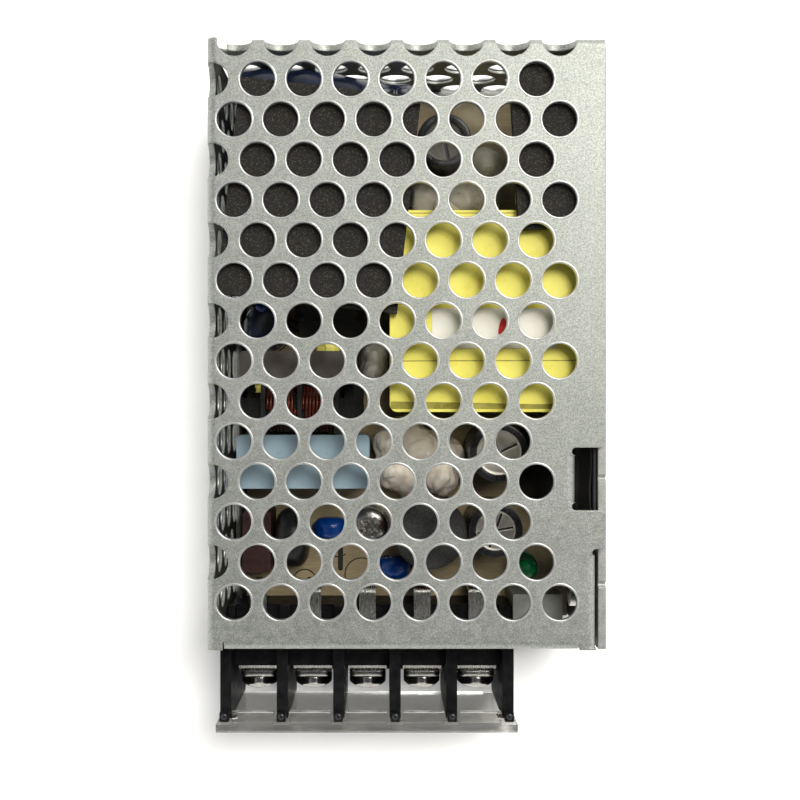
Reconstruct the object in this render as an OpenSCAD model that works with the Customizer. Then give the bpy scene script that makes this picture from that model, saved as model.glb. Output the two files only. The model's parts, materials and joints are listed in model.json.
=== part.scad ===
// Mesh case switching power supply: a folded chassis and a perforated cover
// around a populated circuit board, with a barrier terminal block at the front.
// Origin at the centre of the case's underside, +Y to the rear, +Z up.

/* [Case] */
// Width of the case, side to side
case_w = 51; // [50:0.5:60]
// Length of the case, front to rear
case_l = 78; // [77:0.5:90]
// Height of the case
case_h = 28; // [27.5:0.5:34]
// Thickness of the chassis sheet
chassis_t = 1; // [0.8:0.1:1.2]
// Thickness of the cover sheet
cover_t = 0.8; // [0.6:0.1:1]
// Outside radius of the cover's bends
cover_bend_r = 1.1; // [1.1:0.1:1.4]
// Height of the chassis's low side and rear flanges
flange_h = 6; // [5:0.5:7]
// Distance that the tall side wall stands out past the cover's edge
wall_proud = 0.2; // [0:0.1:0.4]

/* [Ventilation holes] */
// Diameter of one hole
hole_d = 4.45; // [3:0.05:4.6]
// Distance between neighbouring holes
hole_pitch = 5.92; // [5.6:0.02:7]
// Distance from the cover's left edge to the first hole of an even row
hole_start_x = 3.52; // [3:0.02:4]
// Distance that the rear row lies past the cover's rear edge, measured on the flat sheet
hole_start_y = -0.15; // [-0.4:0.05:0.2]
// Width of the plain strip along the cover's front edge
plain_front = 3.8; // [3:0.1:6]
// Width of the plain strip along the cover's right edge
plain_right = 3.4; // [3:0.1:5]
// Height of the plain strip along the foot of the cover's walls
plain_foot = 3.9; // [3.6:0.1:6]

/* [Terminal block] */
// Number of terminals
terminal_count = 5; // [2:1:5]
// Distance between neighbouring terminals
terminal_pitch = 7.62; // [7:0.01:7.62]
// Thickness of one divider
divider_t = 1.5; // [1.2:0.1:1.6]
// Distance from the case's left side to the block
block_side = 0.5; // [0.3:0.1:1]
// Height of the divider tops above the case's underside
divider_top = 19.2; // [18.6:0.1:19.6]
// Height of the block's underside
block_bottom = 3; // [2:0.1:4]
// Distance that the dividers reach in front of the case
divider_reach = 11.2; // [11:0.1:13]
// Distance that the block reaches into the case
block_inset = 3.3; // [3:0.1:3.6]
// Height of the block's rear shelf
shelf_top = 13.4; // [13.2:0.1:13.8]
// Diameter of a terminal screw's head
head_d = 5.1; // [4.6:0.1:5.3]
// Radius of a terminal screw's shank
shank_r = 1.45; // [1.3:0.05:1.5]
// Distance that a terminal screw can be turned out
screw_travel = 2.5; // [1:0.1:3]

/* [Terminal cover] */
// Thickness of the clear front plate
clear_t = 1.2; // [0.8:0.1:1.4]
// Thickness of the clear top flange
clear_flange_t = 1.2; // [1.1:0.1:1.4]
// Depth of the clear top flange, front to rear
clear_flange_l = 2.8; // [2.6:0.1:3.2]
// Distance that the clear cover reaches past each end of the block
clear_side = 0.4; // [0.2:0.1:0.6]

/* [Circuit board] */
// Thickness of the circuit board
board_t = 1.6; // [1.2:0.1:1.8]
// Height of the standoffs
standoff_h = 3.6; // [3.4:0.1:4.2]
// Thickness of the insulation sheets
film_t = 0.35; // [0.2:0.05:0.5]
// Height of the insulation sheet's folded left edge
film_fold_h = 9.6; // [8:0.2:11]

/* [Transformer] */
// Width of the taped transformer
trafo_w = 24.8; // [22:0.2:24.8]
// Length of the taped transformer
trafo_l = 26.3; // [22:0.1:26.4]
// Gap between the transformer and the cover
trafo_gap = 2.7; // [2.4:0.1:5]
// Thickness of the tape wrap
tape_t = 0.5; // [0.3:0.1:0.8]

/* [Capacitors] */
// Gap between the main storage capacitor and the heat pad above it
bulk_gap = 2.4; // [2.2:0.1:4]
// Length of the main storage capacitor
bulk_l = 23; // [18:0.5:23]
// Diameter of the front output capacitor
output_cap_d = 8; // [6:0.5:8]
// Diameter of the second output capacitor
output_cap_2_d = 7.4; // [5:0.1:7.4]
// Height of the front output capacitor
output_cap_1_h = 13.3; // [10:0.1:16]
// Height of the second output capacitor
output_cap_2_h = 11.6; // [8:0.1:14]
// Diameter of the auxiliary capacitor
aux_cap_d = 7.4; // [5:0.1:7.4]
// Height of the auxiliary capacitor
aux_cap_h = 12.8; // [8:0.1:15]
// Width of the line capacitor box
x_cap_w = 17.7; // [14:0.1:17.8]
// Depth of the line capacitor box
x_cap_l = 7.15; // [5:0.05:7.2]
// Height of the line capacitor box
x_cap_h = 14.8; // [10:0.1:16]

/* [Adjustment] */
// Width of the adjuster's body
trimmer_w = 6.8; // [6:0.1:6.8]
// Height of the adjuster's body
trimmer_h = 9.6; // [8:0.1:10]
// Depth of the adjuster's body
trimmer_l = 4.6; // [4:0.1:4.8]
// Diameter of the adjuster's rotor
rotor_d = 3.8; // [3:0.1:4.4]
// Diameter of the indicator lamp
led_d = 3; // [2:0.1:3]

/* [Hidden] */
$fn = 48;
eps = 0.01;

// Named clearances
sheet_gap = 0.1;     // between folded sheets that lie side by side
film_gap = 0.1;      // between an insulation sheet and the metal beside it
strip_gap = 0.05;    // between a terminal strip and what lies against it
thread_gap = 0.05;   // radial, between a screw's shank and its hole
seat_gap = 0.1;      // below a leaded part that stands on the board
running_gap = 0.3;   // between a moving part and its neighbours
flush_gap = 0.02;    // depth of a countersunk head below the sheet it sits in
pin_fit = 0.04;      // radial, between a hinge pin and its hole
rotor_fit = 0.05;    // radial, between the adjuster's rotor and its bore

// Case planes
x_left = -case_w / 2;
x_right = case_w / 2;
y_front = -case_l / 2;
y_rear = case_l / 2;
cover_right = x_right - wall_proud;
cover_under = case_h - cover_t;
wall_inner = x_right - chassis_t;
cover_foot = 0.3;                       // cover walls stop this far above the underside
flange_left = x_left + cover_t + sheet_gap;
flange_rear = y_rear - cover_t - sheet_gap;
chassis_bend_r = chassis_t + 0.2;

// Cover details
row_pitch = hole_pitch * sin(60);
rear_row_y = y_rear + hole_start_y;
first_hole_x = x_left + hole_start_x;
rear_row_depth = hole_start_y + cover_bend_r;
row_count = floor((rear_row_y - y_front - plain_front) / row_pitch) + 1;
front_lip_h = 2.2;                      // the cover's short lip above the terminals
slot_l = 8;                             // length of the cut-out along the right edge
slot_w = 3.8;                           // width of that cut-out
slot_front = y_front + 17.8;            // its front end
slot_tab_h = 5;                         // the tongue bent down from it
relief_d = 1;                           // small relief notches at a bend's ends
step_rear = y_front + 12.9;             // where the inner flange at the front right starts
step_in = 1.2;                          // that flange lies this far inside the cover's edge
inner_flange_h = 8;                     // its height
bend_slit = 0.15;                       // slit beside a bend
corner_r = 0.6;                         // radius of the top sheet's small corners
wall_nicks = [y_front + 8.3, y_front + 21.9];   // small notches in the tall wall's top edge
nick_r = 0.35;

// Board planes
board_under = chassis_t + standoff_h;
board_top = board_under + board_t;
film_left = flange_left + chassis_t + film_gap;
film_right = wall_inner - film_gap;
board_left = film_left + film_t + 0.2;
board_right = film_right - film_t - 0.2;
board_front = y_front + 0.4;
board_rear = flange_rear - chassis_t - film_gap - film_t - 0.3;
part_base = board_top + seat_gap;       // underside of leaded parts
pad_t = 1.5;                            // thickness of the heat pads under the cover
pad_under = cover_under - 0.6 - pad_t;
lead_r = 0.35;                          // radius of a component lead
lead_below = 1.5;                       // how far a lead sticks out under the board

// Case fasteners
fix_r = 1.25;                           // radius of a case screw's shank
fix_head_r = 2.1;                       // radius of its countersunk head
fix_l = 4;                              // length of a case screw
fix_z = 3.2;                            // height of the left side's screws
fix_rows = [1, 13];                     // hole rows level with the left side's screws
fix_right_y = y_front + 6;              // right side's screw
fix_right_z = case_h - 5.4;
mount_r = 1.25;                         // tapping radius of an M3 mounting hole
mount_spacing = 55;                     // between the underside's mounting holes
mount_boss_h = 0.6;                     // raised rim round a mounting hole
side_mount_z = 10;                      // height of the side wall's mounting holes
side_mount_spacing = 52;

// Terminal block planes
block_l = terminal_count * terminal_pitch + divider_t;
block_x = x_left + block_side;
block_rear = y_front + block_inset;
tip_y = y_front - divider_reach;
seat_y = y_front - 4.9;                 // front face of the block behind the terminal plates
plate_t = 0.8;                          // thickness of a terminal strip
plate_w = 5.4;                          // width of a terminal plate
plate_bottom = 6.4;                     // lower edge of a terminal plate
tab_w = 2.3;                            // width of a terminal's rear leg
tab_rear = block_rear + 2.6;            // rear face of that leg
strip_bend_r = plate_t + 0.15;          // outside radius of the strip's bends
strip_top = shelf_top + strip_gap + plate_t;
brow_h = 1.6;                           // height of the block's brow over the strips
brow_rear = y_front + 1;                // the strips come out from under it here
washer_w = 5.1;                         // side of the square washer
washer_t = 1;                           // its thickness
head_h = 1.8;                           // height of a terminal screw's head
screw_z = 11.2;                         // height of the terminal screws
plate_front = seat_y - strip_gap - plate_t;
washer_front = plate_front - strip_gap - washer_t;
screw_hold = 2.1;                       // shank left in the nut when the screw is turned out
screw_in = screw_travel + plate_t + screw_hold;     // shank behind the plate's face
ledge_t = 1.2;                          // floor of each cell
ledge_l = 3;                            // how far the floor reaches in front of the seats

// Terminal cover planes
post_w = 1.2;                           // square posts on the divider tips
post_y = tip_y + 0.7;
post_gap = 0.45;                        // between a post and its notch
clear_flange_z = divider_top + running_gap;
pivot_z = clear_flange_z + clear_flange_t / 2;
post_top = clear_flange_z + clear_flange_t + 0.25;
clear_inner = tip_y - running_gap;
clear_front = clear_inner - clear_t;
clear_bottom = block_bottom;
pin_r = 0.3;
pin_l = 0.95;

function cell_x(i) = block_x + divider_t / 2 + (i + 0.5) * terminal_pitch;
function divider_x(i) = block_x + divider_t / 2 + i * terminal_pitch;
function row_y(j) = rear_row_y - j * row_pitch;
function row_shift(j) = (j % 2) * hole_pitch / 2;

// Component positions on the board, from the case's planes
cap_1_y = y_front + 24.8;
cap_2_y = y_front + 14.1;
trafo_x = board_right - 1.2 - trafo_w;
trafo_y = cap_1_y + output_cap_d / 2 + 1.5;
trafo_h = cover_under - trafo_gap - board_top;  // height above the board
bulk_x = film_left + film_t + 0.4;
bulk_d = pad_under - bulk_gap - part_base;
bulk_y = board_rear - bulk_d / 2 - 0.2;
aux_x = bulk_x + bulk_l + aux_cap_d / 2 + 1.3;
aux_y = y_rear - 11.1;
x_cap_x = board_left + 0.4;
x_cap_y = y_front + 20.05;
choke_x = board_left + 0.5;
choke_y = x_cap_y + x_cap_l + 3.45;
choke_w = trafo_x - 3.7 - choke_x;      // the choke fills the space left of the transformer
choke_core_w = 3;                       // square section of the choke's core
choke_h = 12.4;                         // outside height of the choke's core
choke_coil_r = 3.15;
choke_lift = 0.5;                       // the core's rise above the board parts' base
choke_axis_z = part_base + choke_h - choke_core_w / 2 + choke_lift;
choke_lead_x = (choke_w - 2 * choke_core_w) / 4 + 0.05;
resistor_r = 1.1;
resistor_l = 6;
resistor_span = 8.4;
resistor_x = trafo_x - 2.1;
resistor_z = part_base + resistor_r;
film_cap_x = board_left + 0.4;
film_cap_w = resistor_x - resistor_r - 1.2 - film_cap_x;
film_cap_l = 4.2;
film_cap_h = 11.8;
film_cap_y = choke_y + choke_coil_r + 0.55;
film_cap_rear = film_cap_y + film_cap_l;
resistor_rows = [film_cap_rear + 1, film_cap_rear + 11];
fuse_w = 4;
fuse_l = 8.6;
fuse_h = 7.8;
fuse_x = board_left + 0.3;
fuse_y = y_front + 7.8;
thermistor_d = 8.6;
thermistor_t = 4.8;
thermistor_x = fuse_x + fuse_w + 0.4 + thermistor_t / 2;
thermistor_y = y_front + 12.4;
disc_d = 5.1;
disc_t = 3.4;
disc_1_x = thermistor_x + thermistor_t / 2 + 0.4 + disc_d / 2;
disc_1_y = y_front + 13.5;
disc_2_x = disc_1_x + 8.9;
disc_2_y = y_front + 8;
drum_d = 10;                            // output choke
drum_h = 12.6;
drum_flange_t = 1.8;
drum_neck_r = 3.2;
board_screw_r = 1.2;
board_head_r = 2.6;
board_head_h = 1.7;
washer_disc_t = 0.5;
washer_disc_r = 3;
standoff_r = 2.6;
standoff_stub_r = 1.9;                  // the part of a standoff pressed into the base
board_screws = [
    [x_left + 20.5, y_front + 13.6],
    [board_left + washer_disc_r + 0.1, film_cap_rear + 3.35],
    [aux_x + 4.65, y_rear - 5.8]
];
drum_x = board_screws[0][0] + washer_disc_r + 0.3 + drum_d / 2;
drum_y = y_front + 13.9;
cap_2_x = drum_x + drum_d / 2 + 0.3 + output_cap_2_d / 2;
cap_1_x = cap_2_x + 0.3;
trimmer_x = block_x + block_l + 0.3;
trimmer_front = y_front + 0.5;
led_x = trimmer_x + 2;
led_y = y_front + 8.4;
led_rise = 4.6;                         // the lamp's rim above the board
led_h = 3.8;                            // height of its straight part
led_rim_w = 0.4;                        // the rim's step out from it
led_rim_h = 1;
rotor_z = part_base + trimmer_h / 2;
rotor_depth = 1.2;
rotor_proud = 0.2;
rotor_slot_w = 0.7;

// Heatsinks carry a power device each, and a heat pad between their top and the cover
heatsink_t = 1;
sink_top = pad_under;
sink_1_x = board_left + 0.6;
sink_1_y = film_cap_rear + 6.6;
sink_1_l = bulk_y - bulk_d / 2 - 0.4 - sink_1_y;
sink_1_flange = 17;
sink_2_x = board_right - 0.6;
sink_2_y = trafo_y + trafo_l + 0.8;
sink_2_l = y_rear - 3 - sink_2_y;
sink_2_flange = 9;
primary_pad_w = 23.4;
primary_pad_l = 28;
secondary_pad_w = 9.6;
secondary_pad_l = 21.4;
device_w = 10;
device_t = 4.4;
device_h = 9.2;
device_z = part_base + 2;
device_tab_t = 1.2;
device_tab_top = sink_top - heatsink_t - 0.6;
device_lead_in = 2.6;                   // from the heatsink's face to the device's leads
sink_pin_r = 0.45;

// Smaller parts
bridge_x = board_screws[1][0] + washer_disc_r + 2.15;
bridge_w = resistor_x - resistor_r - 0.55 - bridge_x;
bridge_l = 3.2;
bridge_h = 6;
bridge_y = film_cap_rear + 1.4;
bulk_z = part_base + bulk_d / 2;
opto_x = (x_cap_x + x_cap_w + cap_1_x - output_cap_d / 2) / 2;
opto_y = trafo_y - 4;
opto_w = 6.4;
opto_l = 4.6;
opto_h = 3.5;
opto_row = 3.81;                        // half the distance between its rows of leads
chip_w = 3.9;
chip_l = 4.9;
chip_h = 1.5;
chip_pitch = 1.27;

// Transformer inside its wrap
trafo_core_w = trafo_w - 2 * tape_t - 0.3;
trafo_core_l = trafo_l - 2 * tape_t - 0.3;
trafo_core_h = 7.6;
trafo_leg = 7;                          // width of the core's middle leg
trafo_side = 3.4;                       // width of its outer legs
trafo_window = trafo_core_l - 9;        // length of its windows
bobbin_wall = 0.9;
bobbin_w = trafo_core_w - 2 * trafo_side - 0.4;
bobbin_top = board_top + trafo_h - tape_t - 0.2;
trafo_axis_z = (part_base + bobbin_top) / 2;
tape_lift = 2.2;                        // the wrap's lower edge above the board
label_x = 5.5;                          // the label's place on the wrap, from its front left corner
label_y = 8.3;
label_w = 16.2;
label_l = 5.2;
label_t = 0.1;

// ---------- shared shapes ----------

// A box from its lowest corner.
module box_at(x, y, z, w, l, h) {
    translate([x, y, z]) cube([w, l, h]);
}

// A box whose four upright edges are rounded.
module round_box(x, y, z, w, l, h, r) {
    translate([x, y, z]) linear_extrude(h) union() {
        translate([r, 0]) square([w - 2 * r, l]);
        translate([0, r]) square([w, l - 2 * r]);
        for (cx = [r, w - r], cy = [r, l - r]) translate([cx, cy]) circle(r);
    }
}

// Section of a sheet that runs along +X at height 0 and turns down at x = 0.
// Its outer faces are x = 0 and y = 0.
module bend_section(t, r, top_l, side_h) {
    difference() {
        union() {
            translate([r, -r]) circle(r);
            translate([r, -t]) square([top_l - r, t]);
            translate([0, -side_h]) square([t, side_h - r]);
        }
        translate([r, -r]) circle(r - t);
        translate([r, -2 * r]) square([r + eps, 2 * r - t]);
        translate([t, -2 * r - eps]) square([2 * r, r + eps]);
    }
}

module along_x(x, y, z, l) {
    translate([x, y, z]) rotate([90, 0, 90]) linear_extrude(l) children();
}

module along_y(x, y, z, l) {
    translate([x, y + l, z]) rotate([90, 0, 0]) linear_extrude(l) children();
}

// Cylinder along X, from x to x + l.
module rod_x(x, y, z, r, l) {
    translate([x, y, z]) rotate([0, 90, 0]) cylinder(r = r, h = l);
}

// Cylinder along Y, from y to y + l.
module rod_y(x, y, z, r, l) {
    translate([x, y, z]) rotate([-90, 0, 0]) cylinder(r = r, h = l);
}

// Countersunk head and shank, pointing up its own axis, its flat at z = 0.
module countersunk(head_r, r, h, l) {
    rotate_extrude() polygon([
        [0, 0], [head_r, 0], [r, -h], [r, -l], [0, -l]
    ]);
}

// A component lead from the part's underside through the board.
module lead(x, y, top) {
    bottom = board_under - lead_below;
    translate([x, y, bottom]) cylinder(r = lead_r, h = top - bottom, $fn = 16);
}

// Hole that a lead or pin passes through.
module lead_hole(x, y, r = lead_r) {
    translate([x, y, board_under - 1])
        cylinder(r = r + thread_gap, h = board_t + 2, $fn = 16);
}

// Cross recess, cut down from z = 0.
module cross_recess(w, t, d) {
    for (a = [0, 90])
        rotate([0, 0, a]) translate([-w / 2, -t / 2, -d]) cube([w, t, d + eps]);
}

// ---------- case ----------

module chassis() {
    base_left = flange_left + chassis_bend_r;
    base_rear = flange_rear - chassis_bend_r;
    color("gainsboro") difference() {
        union() {
            box_at(base_left, y_front, 0, x_right - chassis_bend_r - base_left,
                base_rear - y_front, chassis_t);
            // tall right wall
            along_y(x_right, y_front, 0, case_l - cover_bend_r) mirror([1, 0]) mirror([0, 1])
                bend_section(chassis_t, chassis_bend_r, 2 * chassis_bend_r, cover_under);
            // low left flange
            along_y(flange_left, y_front + 2, 0, base_rear - y_front - 4) mirror([0, 1])
                bend_section(chassis_t, chassis_bend_r, 2 * chassis_bend_r, flange_h);
            // low rear flange
            along_x(base_left + 2, flange_rear, 0, x_right - 2 * chassis_bend_r - base_left - 4)
                mirror([1, 0]) mirror([0, 1])
                bend_section(chassis_t, chassis_bend_r, 2 * chassis_bend_r, flange_h);
            for (s = [-1, 1]) translate([0, s * mount_spacing / 2, chassis_t - eps])
                cylinder(r = mount_r + 0.9, h = mount_boss_h + eps);
        }
        for (s = [-1, 1]) {
            translate([0, s * mount_spacing / 2, -1])
                cylinder(r = mount_r, h = chassis_t + mount_boss_h + 2);
            rod_x(wall_inner - 1, s * side_mount_spacing / 2, side_mount_z, mount_r,
                chassis_t + 2);
        }
        for (j = fix_rows)
            rod_x(flange_left - 1, row_y(j), fix_z, fix_r + thread_gap, chassis_t + 2);
        for (p = board_screws)
            translate([p[0], p[1], -1]) cylinder(r = standoff_stub_r, h = chassis_t + 2);
        for (y = wall_nicks) rod_x(wall_inner - 1, y, cover_under, nick_r, chassis_t + 2);
        translate([x_right, fix_right_y, fix_right_z]) rotate([0, 90, 0])
            countersunk(fix_head_r + thread_gap, fix_r + thread_gap, chassis_t - 0.15,
                chassis_t + 1);
    }
}

// Is a hole at x, in a row at y, clear of the cut-out along the right edge?
function clear_of_slot(x, y) =
    x + hole_d / 2 < cover_right - slot_w - 1
    || y < slot_front - hole_d / 2 - relief_d
    || y > slot_front + slot_l + hole_d / 2 + relief_d / 2;

// Holes along one row of the pattern, counted from the cover's left edge.
function row_holes(j) = floor(
    (cover_right - plain_right - hole_d / 2 - first_hole_x - row_shift(j)) / hole_pitch) + 1;

// Is a hole at this depth in a wall clear of the plain strip along its foot?
function clear_of_foot(depth) = case_h - depth - hole_d / 2 > plain_foot;

// The hole pattern: laid out on the flat sheet, and carried round both bends.
module vent_holes() {
    cut = cover_bend_r + 0.05;
    rows_down = floor(case_h / row_pitch);
    for (j = [0 : row_count - 1], i = [-1 : row_holes(j) - 1]) {
        u = hole_start_x + row_shift(j) + i * hole_pitch;
        if (u > 0 && clear_of_slot(x_left + u, row_y(j)))
            translate([x_left + u, row_y(j), case_h - cut]) cylinder(r = hole_d / 2, h = cut + 1);
    }
    // left wall: each row goes on past the bend
    for (j = [1 : row_count - 1], i = [1 : ceil(case_h / hole_pitch)]) {
        depth = cover_bend_r - hole_start_x - row_shift(j) + i * hole_pitch;
        if (clear_of_foot(depth))
            rod_x(x_left - 1, row_y(j), case_h - depth, hole_d / 2, cut + 1);
    }
    // rear wall: more rows follow below the bend
    for (j = [0 : rows_down], i = [0 : row_holes(j) - 1]) {
        depth = rear_row_depth + j * row_pitch;
        if (clear_of_foot(depth))
            rod_y(first_hole_x + row_shift(j) + i * hole_pitch, y_rear - cut, case_h - depth,
                hole_d / 2, cut + 1);
    }
}

// Cutter that rounds a corner of the cover's top sheet; side gives the corner's direction.
module corner_cut(x, y, r, side) {
    translate([x, y, cover_under - 1]) scale([side[0], side[1], 1]) difference() {
        translate([-r, -r, 0]) cube([r + 1, r + 1, 3]);
        translate([-r, -r, -1]) cylinder(r = r, h = 5);
    }
}

module vent_cover() {
    wall_h = case_h - cover_foot;
    bend_l = 2 * cover_bend_r;
    tongue_y = slot_front + relief_d;
    tongue_l = slot_l - 2 * relief_d;
    tongue_x = cover_right - slot_w;
    flange_x = cover_right - step_in;
    flange_y = y_front + 0.3;
    flange_l = step_rear - relief_d / 2 - 0.4 - flange_y;
    lip_x = x_left + bend_l;
    lip_l = flange_x - bend_l - lip_x;
    slot_rear = slot_front + slot_l;
    corner_wall_h = 5;                      // how far down the rear left corner stays whole
    color("silver") union() {
        difference() {
            union() {
                along_y(x_left, y_front, case_h, case_l - cover_bend_r)
                    bend_section(cover_t, cover_bend_r, cover_right - x_left, wall_h);
                // the rear left corner, whole up to the rear face
                along_y(x_left, y_rear - bend_l, case_h, bend_l)
                    bend_section(cover_t, cover_bend_r, bend_l, corner_wall_h);
                along_x(x_left + bend_l, y_rear, case_h, cover_right - x_left - bend_l)
                    mirror([1, 0]) bend_section(cover_t, cover_bend_r, bend_l, wall_h);
            }
            vent_holes();
            // the front edge is cut back for the lip's bend
            box_at(lip_x - bend_slit, y_front - 1, cover_under - 1, lip_l + 2 * bend_slit,
                cover_bend_r + 1, 3);
            box_at(tongue_x, slot_front, cover_under - 1, slot_w + 1, slot_l, 3);
            box_at(tongue_x - cover_bend_r, tongue_y, cover_under - 1, slot_w, tongue_l, 3);
            box_at(flange_x, y_front - 1, cover_under - 1, step_in + 1, step_rear - y_front + 1, 3);
            box_at(flange_x - cover_bend_r, flange_y, cover_under - 1, step_in + 1, flange_l, 3);
            for (y = [slot_front + relief_d / 2, slot_rear - relief_d / 2])
                translate([tongue_x, y, cover_under - 1]) cylinder(r = relief_d / 2, h = 3);
            translate([flange_x, step_rear - relief_d / 2, cover_under - 1])
                cylinder(r = relief_d / 2, h = 3);
            // corners of the tab that lies over the tall wall
            corner_cut(cover_right, slot_front, corner_r, [1, 1]);
            corner_cut(cover_right, step_rear, corner_r, [1, -1]);
            corner_cut(cover_right, slot_rear, corner_r, [1, -1]);
            for (j = fix_rows) translate([x_left, row_y(j), fix_z]) rotate([0, -90, 0])
                countersunk(fix_head_r + thread_gap, fix_r + thread_gap, cover_t - 0.05,
                    cover_t + 1);
        }
        // lip above the terminals
        along_x(lip_x, y_front, case_h, lip_l)
            bend_section(cover_t, cover_bend_r, bend_l, front_lip_h);
        // tongue bent down from the cut-out
        along_y(tongue_x, tongue_y, case_h, tongue_l) mirror([1, 0])
            bend_section(cover_t, cover_bend_r, bend_l, slot_tab_h);
        // flange inside the tall wall
        difference() {
            along_y(flange_x, flange_y, case_h, flange_l) mirror([1, 0])
                bend_section(cover_t, cover_bend_r, bend_l, inner_flange_h);
            rod_x(flange_x - cover_t - 1, fix_right_y, fix_right_z, fix_r + thread_gap,
                cover_t + 2);
        }
    }
}

module case_screws() {
    color("dimgray") {
        for (j = fix_rows)
            translate([x_left + flush_gap, row_y(j), fix_z]) rotate([0, -90, 0]) difference() {
                countersunk(fix_head_r, fix_r, cover_t - 0.05, flange_left - x_left + chassis_t);
                cross_recess(2.4, 0.6, 0.6);
            }
        translate([x_right - flush_gap, fix_right_y, fix_right_z]) rotate([0, 90, 0]) difference() {
            countersunk(fix_head_r, fix_r, chassis_t - 0.15, fix_l);
            cross_recess(2.4, 0.6, 0.6);
        }
    }
}

// Sheet under the board, folded up along the left and rear flanges.
module base_film() {
    z0 = chassis_t + 0.05;
    w = film_right - film_left;
    l = board_rear + 0.3 + film_t - board_front;
    fold_y = block_rear + 0.3;              // the left fold starts behind the terminal block
    color([0.1, 0.1, 0.1]) difference() {
        union() {
            box_at(film_left, board_front, z0, w, l, film_t);
            box_at(film_left, fold_y, z0, film_t, board_front + l - fold_y, film_fold_h);
            box_at(film_left, board_front + l - film_t, z0, w - film_t - 1, film_t, flange_h);
        }
        for (p = board_screws)
            translate([p[0], p[1], 0]) cylinder(r = standoff_r + 0.2, h = 3);
        for (s = [-1, 1])
            translate([0, s * mount_spacing / 2, 0]) cylinder(r = mount_r + 1.2, h = 3);
    }
}

// Sheet that lines the tall side wall, with a corner cut away for the cover's flange.
module side_film() {
    z0 = chassis_t + 0.1 + film_t;
    color([0.1, 0.1, 0.1]) difference() {
        box_at(film_right - film_t, board_front, z0, film_t, board_rear - board_front,
            cover_under - 0.8 - z0);
        box_at(film_right - 1, board_front - 1, case_h - inner_flange_h - 1, 2,
            step_rear - board_front + 1.6, inner_flange_h);
        for (s = [-1, 1])
            rod_x(film_right - 1, s * side_mount_spacing / 2, side_mount_z, mount_r + 1, 2);
    }
}

// ---------- board ----------

// Where each part's leads pass through the board.
pin_pitch = 2.54;
fuse_leads = [for (s = [-1, 1]) [fuse_x + fuse_w / 2, fuse_y + fuse_l / 2 + s * pin_pitch]];
thermistor_leads = [for (s = [-1, 1]) [thermistor_x, thermistor_y + s * 2.5]];
x_cap_leads = [
    for (s = [-1, 1]) [x_cap_x + x_cap_w / 2 + s * (x_cap_w / 2 - 1.35), x_cap_y + x_cap_l / 2]
];
film_cap_leads = [
    for (s = [-1, 1])
        [film_cap_x + film_cap_w / 2 + s * (film_cap_w / 2 - 1.5), film_cap_y + film_cap_l / 2]
];
choke_leads = [
    for (sx = [-1, 1], sy = [-1, 1])
        [choke_x + choke_w / 2 + sx * choke_lead_x, choke_y + sy * (choke_coil_r - 0.4)]
];
disc_leads = [
    for (p = [[disc_1_x, disc_1_y], [disc_2_x, disc_2_y]], s = [-1, 1]) [p[0] + s * 1.9, p[1]]
];
bridge_leads = [
    for (k = [-1.5, -0.5, 0.5, 1.5])
        [bridge_x + bridge_w / 2 + k * bridge_w / 4, bridge_y + bridge_l / 2]
];
bulk_lead_l = 0.7;                      // from the can's foot to its bent leads
bulk_leads = [for (s = [-1, 1]) [bulk_x + bulk_l + bulk_lead_l, bulk_y + s * 3.75]];
transistor_leads = [
    for (k = [-1, 0, 1])
        [sink_1_x + heatsink_t + device_lead_in, sink_1_y + sink_1_l / 2 + k * pin_pitch]
];
diode_leads = [
    for (k = [-1, 0, 1])
        [sink_2_x - heatsink_t - device_lead_in, sink_2_y + sink_2_l / 2 + k * pin_pitch]
];
sink_pins = [
    for (p = [[sink_1_x, sink_1_y, sink_1_l, 1], [sink_2_x, sink_2_y, sink_2_l, -1]],
        s = [0.2, 0.8])
        [p[0] + p[3] * heatsink_t / 2, p[1] + s * p[2]]
];
resistor_leads = [
    for (y = resistor_rows, s = [-1, 1]) [resistor_x, y + s * resistor_span / 2]
];
opto_leads = [
    for (sx = [-1, 1], sy = [-1, 1]) [opto_x + sx * opto_row, opto_y + sy * pin_pitch / 2]
];
trafo_pins = [
    for (sy = [-1, 1], k = [-1.5, -0.5, 0.5, 1.5])
        [trafo_x + trafo_w / 2 + k * 4, trafo_y + trafo_l / 2 + sy * (trafo_window / 2 - 0.5)]
];
cap_leads = [
    for (p = [[cap_1_x, cap_1_y], [cap_2_x, cap_2_y], [aux_x, aux_y]], s = [-1, 1])
        [p[0] + s * 1.75, p[1]]
];
drum_leads = [for (s = [-1, 1]) [drum_x + s * (drum_d / 2 - 1.1), drum_y]];
led_leads = [for (s = [-1, 1]) [led_x + s * pin_pitch / 2, led_y]];
trimmer_leads = [
    for (k = [-1, 0, 1])
        [trimmer_x + trimmer_w / 2 + k * pin_pitch, trimmer_front + trimmer_l / 2]
];
all_leads = concat(fuse_leads, thermistor_leads, x_cap_leads, film_cap_leads, choke_leads,
    disc_leads, bridge_leads, bulk_leads, transistor_leads, diode_leads, resistor_leads,
    opto_leads, trafo_pins, cap_leads, drum_leads, led_leads, trimmer_leads);

module circuit_board() {
    color("tan") difference() {
        box_at(board_left, board_front, board_under, board_right - board_left,
            board_rear - board_front, board_t);
        for (p = board_screws) translate([p[0], p[1], board_under - 1])
            cylinder(r = board_screw_r + 0.2, h = board_t + 2);
        for (p = all_leads) lead_hole(p[0], p[1]);
        for (p = sink_pins) lead_hole(p[0], p[1], sink_pin_r);
        for (i = [0 : terminal_count - 1])
            box_at(cell_x(i) - tab_w / 2 - 0.1, tab_rear - plate_t - 0.1, board_under - 1,
                tab_w + 0.2, plate_t + 0.2, board_t + 2);
    }
}

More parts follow.
